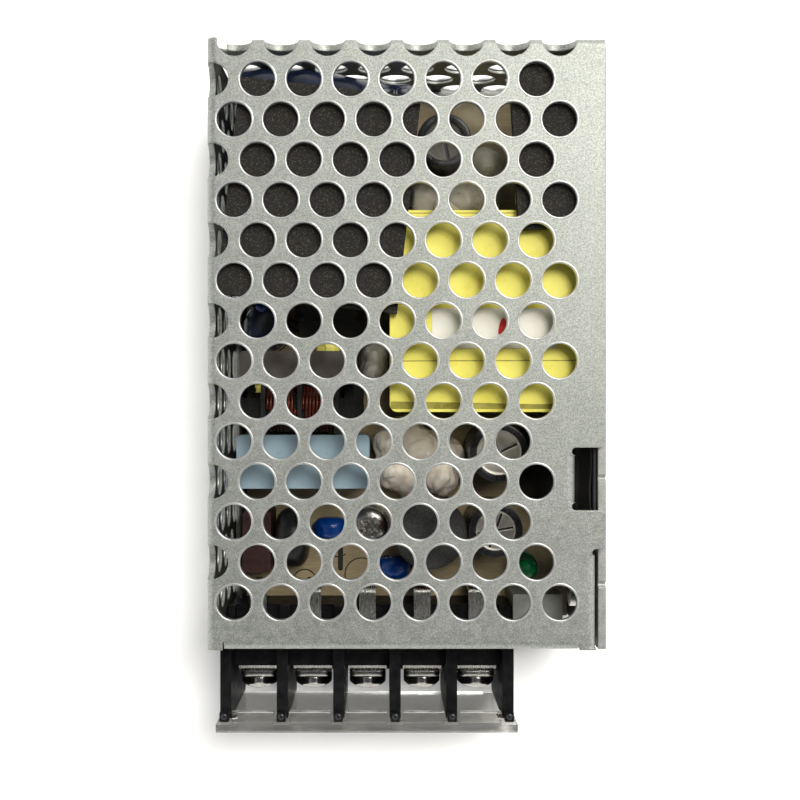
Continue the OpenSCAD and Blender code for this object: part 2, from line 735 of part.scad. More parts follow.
module standoffs() {
    color("lightgray") for (p = board_screws) translate([p[0], p[1], 0]) difference() {
        union() {
            translate([0, 0, chassis_t]) cylinder(r = standoff_r, h = standoff_h);
            cylinder(r = standoff_stub_r - 0.02, h = chassis_t + eps);
        }
        translate([0, 0, -1]) cylinder(r = board_screw_r + 0.02, h = chassis_t + standoff_h + 2);
    }
}

module board_screw_washers() {
    color("silver") for (p = board_screws) translate([p[0], p[1], board_top]) difference() {
        cylinder(r = washer_disc_r, h = washer_disc_t);
        translate([0, 0, -1]) cylinder(r = board_screw_r + 0.1, h = washer_disc_t + 2);
    }
}

// Pan-head screw pointing down its own -Z axis, with the head's underside at z = 0.
module pan_screw(r, h, shank, l) {
    difference() {
        union() {
            rotate_extrude() difference() {
                union() {
                    square([r, h - 0.7]);
                    translate([0, h - 0.7]) square([r - 0.7, 0.7]);
                    translate([r - 0.7, h - 0.7]) circle(0.7);
                }
                translate([-r, -eps]) square([r, 2 * h]);
            }
            translate([0, 0, -l]) cylinder(r = shank, h = l + eps);
        }
        translate([0, 0, h]) cross_recess(0.62 * 2 * r, 0.85, 1.1);
    }
}

module board_screws() {
    color("silver") for (p = board_screws)
        translate([p[0], p[1], board_top + washer_disc_t])
            pan_screw(board_head_r, board_head_h, board_screw_r, standoff_h + board_t - 0.4);
}

// ---------- terminals ----------

module divider(i) {
    translate([divider_x(i) - divider_t / 2, 0, 0]) rotate([90, 0, 90]) linear_extrude(divider_t)
        polygon([
            [tip_y, block_bottom + 0.6], [tip_y + 0.6, block_bottom], [seat_y + eps, block_bottom],
            [seat_y + eps, shelf_top - 1], [block_rear, shelf_top - 1],
            [block_rear, shelf_top + brow_h], [y_front + 1, shelf_top + brow_h],
            [y_front - 1.6, divider_top], [tip_y + 0.4, divider_top], [tip_y, divider_top - 0.4]
        ]);
}

// Passage for a terminal strip under the brow: w wide, from y to y + l.
module strip_slot(x, w, y, l) {
    box_at(x - w / 2 - strip_gap, y, strip_top - plate_t - strip_gap, w + 2 * strip_gap, l,
        plate_t + 2 * strip_gap);
}

module terminal_block() {
    bend_rear = plate_front + 2 * strip_bend_r;     // rear end of each strip's front bend
    front_rear = board_front - 0.2;
    color([0.09, 0.09, 0.1]) difference() {
        union() {
            box_at(block_x, seat_y, block_bottom, block_l, front_rear - seat_y,
                shelf_top - block_bottom);
            box_at(block_x, front_rear - eps, board_top, block_l, block_rear - front_rear + eps,
                shelf_top - board_top);
            box_at(block_x, seat_y, shelf_top - eps, block_l, brow_rear - seat_y, brow_h + eps);
            box_at(block_x, seat_y - ledge_l, block_bottom, block_l, ledge_l + eps, ledge_t);
            for (i = [0 : terminal_count]) {
                divider(i);
                box_at(divider_x(i) - post_w / 2, post_y - post_w / 2, divider_top - eps,
                    post_w, post_w, post_top - divider_top + eps);
            }
            // hinge pins on the two end posts
            rod_x(divider_x(0) + post_w / 2 - eps, post_y, pivot_z, pin_r, pin_l + eps);
            rod_x(divider_x(terminal_count) - post_w / 2 - pin_l, post_y, pivot_z, pin_r,
                pin_l + eps);
        }
        for (i = [0 : terminal_count - 1]) {
            rod_y(cell_x(i), seat_y - 1, screw_z, shank_r + 0.25, screw_in - plate_t + 1.4);
            strip_slot(cell_x(i), plate_w, seat_y - 1, bend_rear + strip_gap - seat_y + 1);
            strip_slot(cell_x(i), tab_w, seat_y, brow_rear + 1 - seat_y);
        }
        // the end that slides in behind the cover's left wall is narrower
        box_at(block_x - 1, y_front - 0.2, 0, flange_left + 0.1 - block_x + 1, block_inset + 1,
            divider_top + 1);
    }
}

// Bent metal strips: the plate in each cell, the run under the brow and the leg into the board.
module terminal_strips() {
    leg_bottom = board_under - lead_below;
    run_y = plate_front + strip_bend_r - eps;
    color("lightgray") for (i = [0 : terminal_count - 1]) {
        difference() {
            union() {
                along_x(cell_x(i) - plate_w / 2, plate_front, strip_top, plate_w)
                    bend_section(plate_t, strip_bend_r, 2 * strip_bend_r, strip_top - plate_bottom);
                box_at(cell_x(i) - tab_w / 2, run_y, strip_top - plate_t, tab_w,
                    tab_rear - strip_bend_r - run_y + eps, plate_t);
                along_x(cell_x(i) - tab_w / 2, tab_rear, strip_top, tab_w) mirror([1, 0])
                    bend_section(plate_t, strip_bend_r, 1.5 * strip_bend_r,
                        strip_top - leg_bottom);
            }
            rod_y(cell_x(i), plate_front - 1, screw_z, shank_r + thread_gap, plate_t + 2);
        }
    }
}

module terminal_cover() {
    x0 = block_x - clear_side;
    l = block_l + 2 * clear_side;
    top = clear_flange_z + clear_flange_t;
    corner = 0.5;
    notch = post_w / 2 + post_gap;
    rear = clear_front + clear_flange_l;
    color([0.8, 0.9, 0.95, 0.5]) difference() {
        union() {
            box_at(x0, clear_front + corner, clear_flange_z, l, clear_flange_l - corner,
                clear_flange_t);
            box_at(x0, clear_front, clear_bottom, l, clear_t, top - corner - clear_bottom);
            rod_x(x0, clear_front + corner, top - corner, corner, l);
        }
        for (i = [0 : terminal_count]) {
            left = (i == 0) ? clear_side + divider_t + 1 : notch;
            right = (i == terminal_count) ? clear_side + divider_t + 1 : notch;
            box_at(divider_x(i) - left, post_y - notch, clear_flange_z - 1, left + right,
                rear - post_y + notch + 1, clear_flange_t + 2);
        }
        rod_x(divider_x(0) + notch - eps, post_y, pivot_z, pin_r + pin_fit, pin_l - post_gap + 0.2);
        rod_x(divider_x(terminal_count) - notch - pin_l + post_gap - 0.2 + eps, post_y, pivot_z,
            pin_r + pin_fit, pin_l - post_gap + 0.2);
    }
}

module terminal_washer(i) {
    half = washer_w / 2;
    color("silver") difference() {
        box_at(cell_x(i) - half, washer_front, screw_z - half, washer_w, washer_t, washer_w);
        rod_y(cell_x(i), washer_front - 1, screw_z, shank_r + 0.1, washer_t + 2);
    }
}

module terminal_screw(i) {
    color("silver") translate([cell_x(i), washer_front - strip_gap, screw_z]) rotate([90, 0, 0])
        pan_screw(head_d / 2, head_h, shank_r, screw_in + washer_t);
}

// ---------- parts on the board ----------

module line_fuse() {
    color([0.4, 0.24, 0.22]) union() {
        round_box(fuse_x, fuse_y, part_base, fuse_w, fuse_l, fuse_h, 0.5);
        for (p = fuse_leads) lead(p[0], p[1], part_base + eps);
    }
}

// Disc with a rounded rim, its axis along +Z and its middle at the origin.
module soft_disc(d, t) {
    rim = t / 2 - eps;
    rotate_extrude() intersection() {
        union() {
            translate([0, -t / 2]) square([d / 2 - rim, t]);
            translate([d / 2 - rim, 0]) circle(rim);
        }
        translate([0, -t]) square([d, 2 * t]);
    }
}

module thermistor() {
    z = part_base + 0.6 + thermistor_d / 2;
    color([0.15, 0.15, 0.15]) union() {
        translate([thermistor_x, thermistor_y, z]) rotate([0, 90, 0])
            soft_disc(thermistor_d, thermistor_t);
        for (p = thermistor_leads) lead(p[0], p[1], z);
    }
}

module box_capacitor(x, y, w, l, h, leads) {
    round_box(x, y, part_base, w, l, h, 0.6);
    for (p = leads) lead(p[0], p[1], part_base + eps);
}

module x_capacitor() {
    color([0.55, 0.66, 0.7]) union()
        box_capacitor(x_cap_x, x_cap_y, x_cap_w, x_cap_l, x_cap_h, x_cap_leads);
}

module film_capacitor() {
    color([0.42, 0.39, 0.37]) union()
        box_capacitor(film_cap_x, film_cap_y, film_cap_w, film_cap_l, film_cap_h, film_cap_leads);
}

module choke_core() {
    z = part_base + choke_lift;
    half = choke_core_w / 2;
    color([0.2, 0.2, 0.21]) difference() {
        box_at(choke_x, choke_y - half, z, choke_w, choke_core_w, choke_h);
        box_at(choke_x + choke_core_w, choke_y - half - 1, z + choke_core_w,
            choke_w - 2 * choke_core_w, choke_core_w + 2, choke_h - 2 * choke_core_w);
    }
}

choke_tube = choke_core_w / 2 + 0.1;    // half the bobbin's inside width
choke_wall = 0.6;                       // thickness of the bobbin's walls
choke_flange = choke_coil_r + 0.15;     // half the width of the bobbin's flanges
choke_in = choke_x + choke_core_w + 0.1;
choke_in_l = choke_w - 2 * choke_core_w - 0.2;

module choke_bobbin() {
    outer = choke_tube + choke_wall;
    color([0.12, 0.12, 0.12]) difference() {
        union() {
            box_at(choke_in, choke_y - outer, choke_axis_z - outer, choke_in_l, 2 * outer,
                2 * outer);
            for (k = [0, 0.5, 1])
                box_at(choke_in + k * (choke_in_l - choke_wall), choke_y - choke_flange,
                    choke_axis_z - choke_flange, choke_wall, 2 * choke_flange, 2 * choke_flange);
        }
        box_at(choke_in - 1, choke_y - choke_tube, choke_axis_z - choke_tube, choke_in_l + 2,
            2 * choke_tube, 2 * choke_tube);
    }
}

module choke_windings() {
    outer = choke_tube + choke_wall + 0.05;
    coil_l = (choke_in_l - 3 * choke_wall) / 2 - 0.1;
    color([0.5, 0.2, 0.12]) for (k = [0, 1]) {
        x = choke_in + choke_wall + 0.05 + k * (coil_l + choke_wall + 0.1);
        union() {
            difference() {
                rod_x(x, choke_y, choke_axis_z, choke_coil_r, coil_l);
                box_at(x - 1, choke_y - outer, choke_axis_z - outer, coil_l + 2, 2 * outer,
                    2 * outer);
            }
            for (n = [0, 1]) {
                p = choke_leads[2 * k + n];
                lead(p[0], p[1], choke_axis_z - 1.2);
            }
        }
    }
}

module disc_capacitors() {
    z = part_base + 0.8 + disc_d / 2;
    centres = [[disc_1_x, disc_1_y], [disc_2_x, disc_2_y]];
    color([0.05, 0.25, 0.55]) for (k = [0, 1]) union() {
        translate([centres[k][0], centres[k][1], z]) rotate([90, 0, 0]) soft_disc(disc_d, disc_t);
        for (n = [0, 1]) {
            p = disc_leads[2 * k + n];
            lead(p[0], p[1], z);
        }
    }
}

module bridge_rectifier() {
    color([0.13, 0.13, 0.14]) union() {
        box_at(bridge_x, bridge_y, part_base + 1, bridge_w, bridge_l, bridge_h);
        for (p = bridge_leads) lead(p[0], p[1], part_base + 1.5);
    }
}

// Electrolytic can standing on z = 0: a rolled groove near its foot, a sleeve folded over
// its rim, and a vent scored across its top.
module can_capacitor(d, h) {
    r = d / 2;
    groove = 0.3;
    groove_z = 1.6;
    rim = 0.5;
    top_r = r - 0.9;
    top_depth = 0.25;
    vent_w = 0.24;
    vent_depth = 0.15;
    vent_l = 2 * (top_r - 0.7);
    difference() {
        rotate_extrude() difference() {
            union() {
                square([r, h - rim]);
                square([r - rim, h]);
                translate([r - rim, h - rim]) circle(rim);
            }
            translate([r + groove / 2, groove_z]) circle(groove);
            translate([0, h - top_depth]) square([top_r, 1]);
            translate([-r, -eps]) square([r, 2 * h]);
        }
        for (a = [45, 135]) rotate([0, 0, a])
            translate([-vent_l / 2, -vent_w / 2, h - top_depth - vent_depth])
                cube([vent_l, vent_w, 1]);
    }
}

module bulk_capacitor() {
    color([0.08, 0.09, 0.16]) union() {
        translate([bulk_x + bulk_l, bulk_y, bulk_z]) rotate([0, -90, 0])
            can_capacitor(bulk_d, bulk_l);
        for (p = bulk_leads) {
            rod_x(bulk_x + bulk_l - eps, p[1], bulk_z, lead_r, bulk_lead_l + lead_r);
            lead(p[0], p[1], bulk_z);
        }
    }
}

// Heatsink standing on the board, its outer faces at x and at the top, its flange towards side.
module heatsink(x, y, l, flange, side, pins) {
    union() {
        along_y(x, y, sink_top, l) mirror([side < 0 ? 1 : 0, 0])
            bend_section(heatsink_t, heatsink_t + 0.4, flange, sink_top - part_base);
        for (p = pins) translate([p[0], p[1], board_under - lead_below])
            cylinder(r = sink_pin_r, h = part_base - board_under + lead_below + 1, $fn = 16);
    }
}

module primary_heatsink() {
    color("silver") heatsink(sink_1_x, sink_1_y, sink_1_l, sink_1_flange, 1,
        [sink_pins[0], sink_pins[1]]);
}

module output_heatsink() {
    color("silver") heatsink(sink_2_x, sink_2_y, sink_2_l, sink_2_flange, -1,
        [sink_pins[2], sink_pins[3]]);
}

// Flat-tab power device: its metal tab lies at x, its body on the side given.
module power_device(x, y, side, leads) {
    union() {
        box_at(x + min(0, side * device_tab_t), y - device_w / 2, device_z, device_tab_t, device_w,
            device_tab_top - device_z);
        box_at(x + min(side * device_tab_t, side * device_t), y - device_w / 2, device_z,
            device_t - device_tab_t, device_w, device_h);
        for (p = leads) lead(p[0], p[1], device_z + eps);
    }
}

module power_transistor() {
    color([0.13, 0.13, 0.13]) power_device(sink_1_x + heatsink_t, sink_1_y + sink_1_l / 2, 1,
        transistor_leads);
}

module output_diode() {
    color([0.13, 0.13, 0.13]) power_device(sink_2_x - heatsink_t, sink_2_y + sink_2_l / 2, -1,
        diode_leads);
}

module heat_pad(x, y, w, l, turn) {
    translate([x, y, pad_under]) rotate([0, 0, turn]) translate([-w / 2, -l / 2, 0])
        cube([w, l, pad_t]);
}

module primary_pad() {
    color([0.27, 0.26, 0.25])
        heat_pad(x_left + 14.2, y_rear - 19.8, primary_pad_w, primary_pad_l, -6.4);
}

module secondary_pad() {
    color([0.27, 0.26, 0.25])
        heat_pad(x_right - 6.9, y_rear - 13.3, secondary_pad_w, secondary_pad_l, 3.4);
}

module snubber_resistors() {
    color([0.5, 0.65, 0.72]) for (k = [0, 1]) union() {
        rod_y(resistor_x, resistor_rows[k] - resistor_l / 2, resistor_z, resistor_r, resistor_l);
        rod_y(resistor_x, resistor_rows[k] - resistor_span / 2 - lead_r, resistor_z, lead_r,
            resistor_span + 2 * lead_r);
        for (n = [0, 1]) {
            p = resistor_leads[2 * k + n];
            lead(p[0], p[1], resistor_z);
        }
    }
}

// Controller on the board's underside, with four legs on each side.
module controller_chip() {
    x = trafo_x + trafo_w / 2;
    y = trafo_y + trafo_l / 2;
    leg_w = 0.4;
    leg_l = 1;
    leg_t = 0.2;
    color([0.1, 0.1, 0.1]) union() {
        box_at(x - chip_w / 2, y - chip_l / 2, board_under - chip_h - seat_gap, chip_w, chip_l,
            chip_h);
        for (s = [-1, 1], k = [-1.5, -0.5, 0.5, 1.5])
            box_at(x + s * (chip_w + leg_l) / 2 - s * seat_gap - leg_l / 2,
                y + k * chip_pitch - leg_w / 2, board_under - leg_t, leg_l, leg_w, leg_t);
    }
}

module optocoupler() {
    leg_z = part_base + opto_h / 2;
    leg_t = 0.4;
    color([0.1, 0.1, 0.1]) union() {
        box_at(opto_x - opto_w / 2, opto_y - opto_l / 2, part_base + 0.4, opto_w, opto_l, opto_h);
        for (p = opto_leads) {
            lead(p[0], p[1], leg_z + leg_t);
            box_at(p[0] < opto_x ? p[0] : opto_x + opto_w / 2 - eps, p[1] - lead_r, leg_z,
                opto_row - opto_w / 2 + eps, 2 * lead_r, leg_t);
        }
    }
}

// ---------- transformer ----------

// One E-shaped ferrite half; its legs point along +Y and end at y = 0.
module core_half() {
    l = trafo_core_l / 2;
    w = trafo_core_w;
    window_w = (w - trafo_leg - 2 * trafo_side) / 2;
    difference() {
        translate([-w / 2, -l, -trafo_core_h / 2]) cube([w, l, trafo_core_h]);
        for (s = [-1, 1])
            translate([s * (trafo_leg + window_w) / 2 - window_w / 2, -trafo_window / 2,
                -trafo_core_h / 2 - 1])
                cube([window_w, l, trafo_core_h + 2]);
    }
}

module at_trafo() {
    translate([trafo_x + trafo_w / 2, trafo_y + trafo_l / 2, trafo_axis_z]) children();
}

module transformer_core() {
    color([0.2, 0.2, 0.2]) at_trafo() {
        core_half();
        mirror([0, 1, 0]) core_half();
    }
}

module transformer_bobbin() {
    inner_w = trafo_leg + 0.3;
    inner_h = trafo_core_h + 0.3;
    l = trafo_window - 0.2;
    color([0.15, 0.13, 0.12]) union() {
        at_trafo() difference() {
            union() {
                translate([-inner_w / 2 - bobbin_wall, -l / 2, -inner_h / 2 - bobbin_wall])
                    cube([inner_w + 2 * bobbin_wall, l, inner_h + 2 * bobbin_wall]);
                for (s = [-1, 1])
                    translate([-bobbin_w / 2, s * (l - bobbin_wall) / 2 - bobbin_wall / 2,
                        part_base - trafo_axis_z])
                        cube([bobbin_w, bobbin_wall, bobbin_top - part_base]);
            }
            translate([-inner_w / 2, -l, -inner_h / 2]) cube([inner_w, 2 * l, inner_h]);
        }
        for (p = trafo_pins) lead(p[0], p[1], part_base + 1);
    }
}

module transformer_windings() {
    inner_w = trafo_leg + 0.3 + 2 * bobbin_wall + 0.1;
    inner_h = trafo_core_h + 0.3 + 2 * bobbin_wall + 0.1;
    w = bobbin_w - 0.6;
    h = 2 * (trafo_axis_z - part_base) - 2.4;
    l = trafo_window - 0.2 - 2 * bobbin_wall - 0.1;
    color([0.55, 0.25, 0.15]) at_trafo() difference() {
        translate([0, l / 2, 0]) rotate([90, 0, 0]) round_box(-w / 2, -h / 2, 0, w, h, l, 2);
        translate([-inner_w / 2, -l, -inner_h / 2]) cube([inner_w, 2 * l, inner_h]);
    }
}

module transformer_tape() {
    top = board_top + trafo_h;
    foot = board_top + tape_lift;
    color([0.87, 0.83, 0.38]) difference() {
        round_box(trafo_x, trafo_y, foot, trafo_w, trafo_l, top - foot, 1);
        translate([0, 0, -tape_t]) round_box(trafo_x + tape_t, trafo_y + tape_t, foot,
            trafo_w - 2 * tape_t, trafo_l - 2 * tape_t, top - foot, 0.4);
    }
}

module transformer_label() {
    color("white") box_at(trafo_x + label_x, trafo_y + label_y, board_top + trafo_h, label_w,
        label_l, label_t);
}

// ---------- output side ----------

module output_capacitor_1() {
    color([0.1, 0.1, 0.11]) union() {
        translate([cap_1_x, cap_1_y, part_base]) can_capacitor(output_cap_d, output_cap_1_h);
        for (n = [0, 1]) lead(cap_leads[n][0], cap_leads[n][1], part_base + eps);
    }
}

module output_capacitor_2() {
    color([0.1, 0.1, 0.11]) union() {
        translate([cap_2_x, cap_2_y, part_base]) can_capacitor(output_cap_2_d, output_cap_2_h);
        for (n = [2, 3]) lead(cap_leads[n][0], cap_leads[n][1], part_base + eps);
    }
}

module auxiliary_capacitor() {
    color([0.1, 0.1, 0.11]) union() {
        translate([aux_x, aux_y, part_base]) can_capacitor(aux_cap_d, aux_cap_h);
        for (n = [4, 5]) lead(cap_leads[n][0], cap_leads[n][1], part_base + eps);
    }
}

module output_choke_core() {
    r = drum_d / 2;
    color([0.3, 0.3, 0.3]) translate([drum_x, drum_y, part_base]) rotate_extrude() polygon([
        [0, 0], [r, 0], [r, drum_flange_t], [drum_neck_r, drum_flange_t],
        [drum_neck_r, drum_h - drum_flange_t], [r, drum_h - drum_flange_t],
        [r, drum_h - 0.3], [r - 0.3, drum_h], [0, drum_h]
    ]);
}

module output_choke_winding() {
    z = part_base + drum_flange_t + 0.05;
    h = drum_h - 2 * drum_flange_t - 0.1;
    color([0.55, 0.25, 0.15]) translate([drum_x, drum_y, z]) difference() {
        cylinder(r = drum_d / 2 - 0.4, h = h);
        translate([0, 0, -1]) cylinder(r = drum_neck_r + 0.05, h = h + 2);
    }
}

module indicator_led() {
    r = led_d / 2;
    z = part_base + led_rise;
    color([0.05, 0.45, 0.2]) union() {
        translate([led_x, led_y, z]) cylinder(r = r + led_rim_w, h = led_rim_h);
        translate([led_x, led_y, z]) cylinder(r = r, h = led_h);
        translate([led_x, led_y, z + led_h]) sphere(r);
        for (p = led_leads) lead(p[0], p[1], z + eps);
    }
}

module adjuster_body() {
    color([0.85, 0.86, 0.84]) difference() {
        union() {
            round_box(trimmer_x, trimmer_front, part_base, trimmer_w, trimmer_l, trimmer_h, 0.3);
            for (p = trimmer_leads) lead(p[0], p[1], part_base + eps);
        }
        rod_y(trimmer_x + trimmer_w / 2, trimmer_front - 1, rotor_z, rotor_d / 2 + rotor_fit,
            rotor_depth + 1);
    }
}

module adjuster_rotor() {
    y0 = trimmer_front - rotor_proud;
    l = rotor_proud + rotor_depth - 0.1;
    color([0.95, 0.95, 0.93]) difference() {
        rod_y(trimmer_x + trimmer_w / 2, y0, rotor_z, rotor_d / 2, l);
        translate([trimmer_x + trimmer_w / 2, y0, rotor_z]) rotate([90, 0, 0])
            cross_recess(0.75 * rotor_d, rotor_slot_w, 0.6);
    }
}

// A bead of silicone standing on the board, with a domed top.
module adhesive_bead(x, y, r, h) {
    ball = 1.3 * r;
    translate([x, y, board_top]) rotate_extrude() intersection() {
        square([r, h]);
        union() {
            square([r, h - ball]);
            translate([0, h - ball]) circle(ball);
        }
    }
}

// Beads that steady the front output capacitor and fill in before the auxiliary capacitor.
module adhesive_beads() {
    behind_trafo = aux_y - aux_cap_d / 2 - trafo_y - trafo_l;
    r1 = 1.4;
    r2 = 0.3 * behind_trafo;
    lean = 205;
    reach = output_cap_d / 2 + r1 + seat_gap;
    color([0.85, 0.8, 0.7]) {
        adhesive_bead(cap_1_x + reach * cos(lean), cap_1_y + reach * sin(lean), r1, 6);
        adhesive_bead(aux_x + 0.8, trafo_y + trafo_l + r2 + seat_gap, r2, 9);
    }
}

chassis();
vent_cover();
case_screws();
base_film();
side_film();
circuit_board();
standoffs();
board_screws();
board_screw_washers();
terminal_block();
terminal_strips();
terminal_cover();
terminal_washer(0);  // terminal_washer_1
terminal_washer(1);  // terminal_washer_2
terminal_washer(2);  // terminal_washer_3
terminal_washer(3);  // terminal_washer_4
terminal_washer(4);  // terminal_washer_5
terminal_screw(0);  // terminal_screw_1
terminal_screw(1);  // terminal_screw_2
terminal_screw(2);  // terminal_screw_3
terminal_screw(3);  // terminal_screw_4
terminal_screw(4);  // terminal_screw_5
line_fuse();
thermistor();
x_capacitor();
film_capacitor();
choke_core();
choke_bobbin();
choke_windings();
disc_capacitors();
bridge_rectifier();
bulk_capacitor();
primary_heatsink();
power_transistor();
primary_pad();
snubber_resistors();
controller_chip();
optocoupler();
transformer_core();
transformer_bobbin();
transformer_windings();
transformer_tape();
transformer_label();
output_heatsink();
output_diode();
secondary_pad();
output_capacitor_1();
output_capacitor_2();
auxiliary_capacitor();
output_choke_core();
output_choke_winding();
indicator_led();
adjuster_body();
adjuster_rotor();
adhesive_beads();
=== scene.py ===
"""Looks for the mesh case switching power supply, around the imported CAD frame, in metres."""
import json
import math
import random

import bmesh
import bpy
from mathutils import Matrix, Vector, noise as vector_noise


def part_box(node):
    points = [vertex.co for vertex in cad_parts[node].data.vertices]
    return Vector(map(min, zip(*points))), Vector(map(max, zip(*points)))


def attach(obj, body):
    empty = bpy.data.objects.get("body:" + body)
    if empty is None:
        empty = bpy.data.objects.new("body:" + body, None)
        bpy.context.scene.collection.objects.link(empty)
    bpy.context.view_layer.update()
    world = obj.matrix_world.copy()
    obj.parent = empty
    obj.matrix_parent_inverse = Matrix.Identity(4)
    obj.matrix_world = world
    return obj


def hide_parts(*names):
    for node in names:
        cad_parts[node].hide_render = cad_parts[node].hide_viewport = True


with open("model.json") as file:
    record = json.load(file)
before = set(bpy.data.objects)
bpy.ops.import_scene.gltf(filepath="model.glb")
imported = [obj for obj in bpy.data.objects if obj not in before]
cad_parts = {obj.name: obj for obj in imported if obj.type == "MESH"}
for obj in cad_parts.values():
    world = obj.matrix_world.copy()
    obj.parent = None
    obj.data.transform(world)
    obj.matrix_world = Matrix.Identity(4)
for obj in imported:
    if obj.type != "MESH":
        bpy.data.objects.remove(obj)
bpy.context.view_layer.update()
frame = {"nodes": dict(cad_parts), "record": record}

MM = 0.001
NODES = frame["nodes"]
CASE_LOW, CASE_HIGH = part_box("vent_cover")
TOP = CASE_HIGH.z
BOARD_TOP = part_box("circuit_board")[1].z
THREAD_PITCH = 0.5 * MM
LEAD_END = BOARD_TOP - 1.0 * MM
scene = bpy.context.scene


# ---------- shader nodes ----------

def fill_inputs(tree, node, values):
    """Sets inputs of a node: a socket is linked, and anything else is the input's value."""
    for key, value in values.items():
        if isinstance(value, bpy.types.NodeSocket):
            tree.links.new(value, node.inputs[key])
        else:
            node.inputs[key].default_value = value


def add_node(tree, kind, values=None, **settings):
    """New shader node with its settings and inputs."""
    node = tree.nodes.new("ShaderNode" + kind)
    for name, value in settings.items():
        setattr(node, name, value)
    fill_inputs(tree, node, values or {})
    return node


# ---------- camera, light and stage ----------

def make_camera():
    """Looks straight down from above the case, a little to its front left."""
    above_top = 0.145
    cam = bpy.data.cameras.new("camera")
    cam.sensor_width = 36
    cam.lens = 51.3
    cam.shift_x = 0.02
    cam.shift_y = 0.0025
    cam.clip_start = 0.01
    obj = bpy.data.objects.new("camera", cam)
    obj.location = (-2.9 * MM, -7.4 * MM, TOP + above_top)
    scene.collection.objects.link(obj)
    scene.camera = obj


def area_light(name, place, size, power, colour=(1.0, 1.0, 1.0), in_metal=True):
    """Round soft lamp aimed at the case; a lamp out of the metal lights colours only."""
    data = bpy.data.lights.new(name, "AREA")
    data.shape = "DISK"
    data.size = size
    data.energy = power
    data.color = colour
    obj = bpy.data.objects.new(name, data)
    obj.location = place
    obj.rotation_euler = (-Vector(place)).to_track_quat("-Z", "Y").to_euler()
    obj.visible_glossy = in_metal
    scene.collection.objects.link(obj)


def make_world():
    """Soft even light. Camera and glass see plain white, and metal a glow that fades upwards."""
    scene.world = bpy.data.worlds.new("studio")
    scene.world.use_nodes = True
    tree = scene.world.node_tree
    tree.nodes.clear()

    def background(strength):
        white = {"Color": (1, 1, 1, 1), "Strength": strength}
        return add_node(tree, "Background", white).outputs[0]
    path = add_node(tree, "LightPath").outputs
    heading = add_node(tree, "TexCoord").outputs["Generated"]
    up = add_node(tree, "SeparateXYZ", {0: heading}).outputs["Z"]
    glow = add_node(tree, "MapRange", {"Value": up, "From Min": 0.2, "From Max": 1.0,
                                       "To Min": 1.15, "To Max": 0.02}).outputs["Result"]
    lit = add_node(tree, "MixShader", {0: path["Is Glossy Ray"], 1: background(0.25),
                                       2: background(glow)}).outputs[0]
    seen = add_node(tree, "Math", {0: path["Is Camera Ray"], 1: path["Is Transmission Ray"]},
                    operation="MAXIMUM").outputs[0]
    whole = add_node(tree, "MixShader", {0: seen, 1: lit, 2: background(1.0)}).outputs[0]
    add_node(tree, "OutputWorld", {0: whole})


def make_stage():
    """Pale floor that keeps the object's shadow, and looks a little lighter to the camera."""
    size = 3.0
    mesh = bpy.data.meshes.new("floor")
    mesh.from_pydata([(-size, -size, 0), (size, -size, 0), (size, size, 0), (-size, size, 0)], [],
                     [(0, 1, 2, 3)])
    floor = bpy.data.objects.new("floor", mesh)
    floor.location.z = -0.05 * MM
    scene.collection.objects.link(floor)
    m, tree, bsdf = new_material("floor")
    fill_inputs(tree, bsdf, {"Base Color": (0.95, 0.95, 0.95, 1), "Roughness": 0.9})
    plain_floor = bsdf.outputs[0]
    glow = add_node(tree, "Emission", {"Color": (1, 1, 1, 1), "Strength": 0.14}).outputs[0]
    lifted = add_node(tree, "AddShader", {0: plain_floor, 1: glow}).outputs[0]
    to_camera = add_node(tree, "LightPath").outputs["Is Camera Ray"]
    shown = add_node(tree, "MixShader", {0: to_camera, 1: plain_floor, 2: lifted}).outputs[0]
    tree.links.new(shown, tree.nodes["Material Output"].inputs[0])
    mesh.materials.append(m)


# ---------- materials ----------

def new_material(name):
    """Material with its node tree and its main shader."""
    m = bpy.data.materials.new(name)
    m.use_nodes = True
    return m, m.node_tree, m.node_tree.nodes["Principled BSDF"]


def noise(tree, scale, detail, rough, stretch=(1, 1, 1)):
    """Noise in object space; scale is cells per metre."""
    coord = add_node(tree, "TexCoord").outputs["Object"]
    place = add_node(tree, "Mapping", {"Vector": coord, "Scale": stretch}).outputs["Vector"]
    return add_node(tree, "TexNoise", {"Vector": place, "Scale": scale, "Detail": detail,
                                       "Roughness": rough}).outputs["Fac"]


def ramp(tree, fac, stops):
    """Colour that runs between two stops, each a place and a colour."""
    node = add_node(tree, "ValToRGB", {"Fac": fac})
    for element, (at, colour) in zip(node.color_ramp.elements, stops):
        element.position = at
        element.color = (*colour, 1)
    return node.outputs["Color"]


def mixed(tree, a, b, fac, mode="MIX"):
    """Mix of two colours, each a socket or a plain colour."""
    a, b = (c if isinstance(c, bpy.types.NodeSocket) else (*c, 1) for c in (a, b))
    first, second, result = 6, 7, 2
    return add_node(tree, "Mix", {0: fac, first: a, second: b}, data_type="RGBA",
                    blend_type=mode).outputs[result]


def to_range(tree, value, low, high):
    """The middle part of a noise, stretched to run from low to high."""
    return add_node(tree, "MapRange", {"Value": value, "From Min": 0.3, "From Max": 0.7,
                                       "To Min": low, "To Max": high}).outputs["Result"]


def bumped(tree, bsdf, height, strength, depth_mm, edge_mm=0.09):
    """Grain in the surface, over edges that catch the light as if slightly rounded."""
    soft = add_node(tree, "Bevel", {"Radius": edge_mm * MM}, samples=4).outputs["Normal"]
    bump = add_node(tree, "Bump", {"Strength": strength, "Distance": depth_mm * MM,
                                   "Normal": soft, "Height": height}).outputs["Normal"]
    tree.links.new(bump, bsdf.inputs["Normal"])


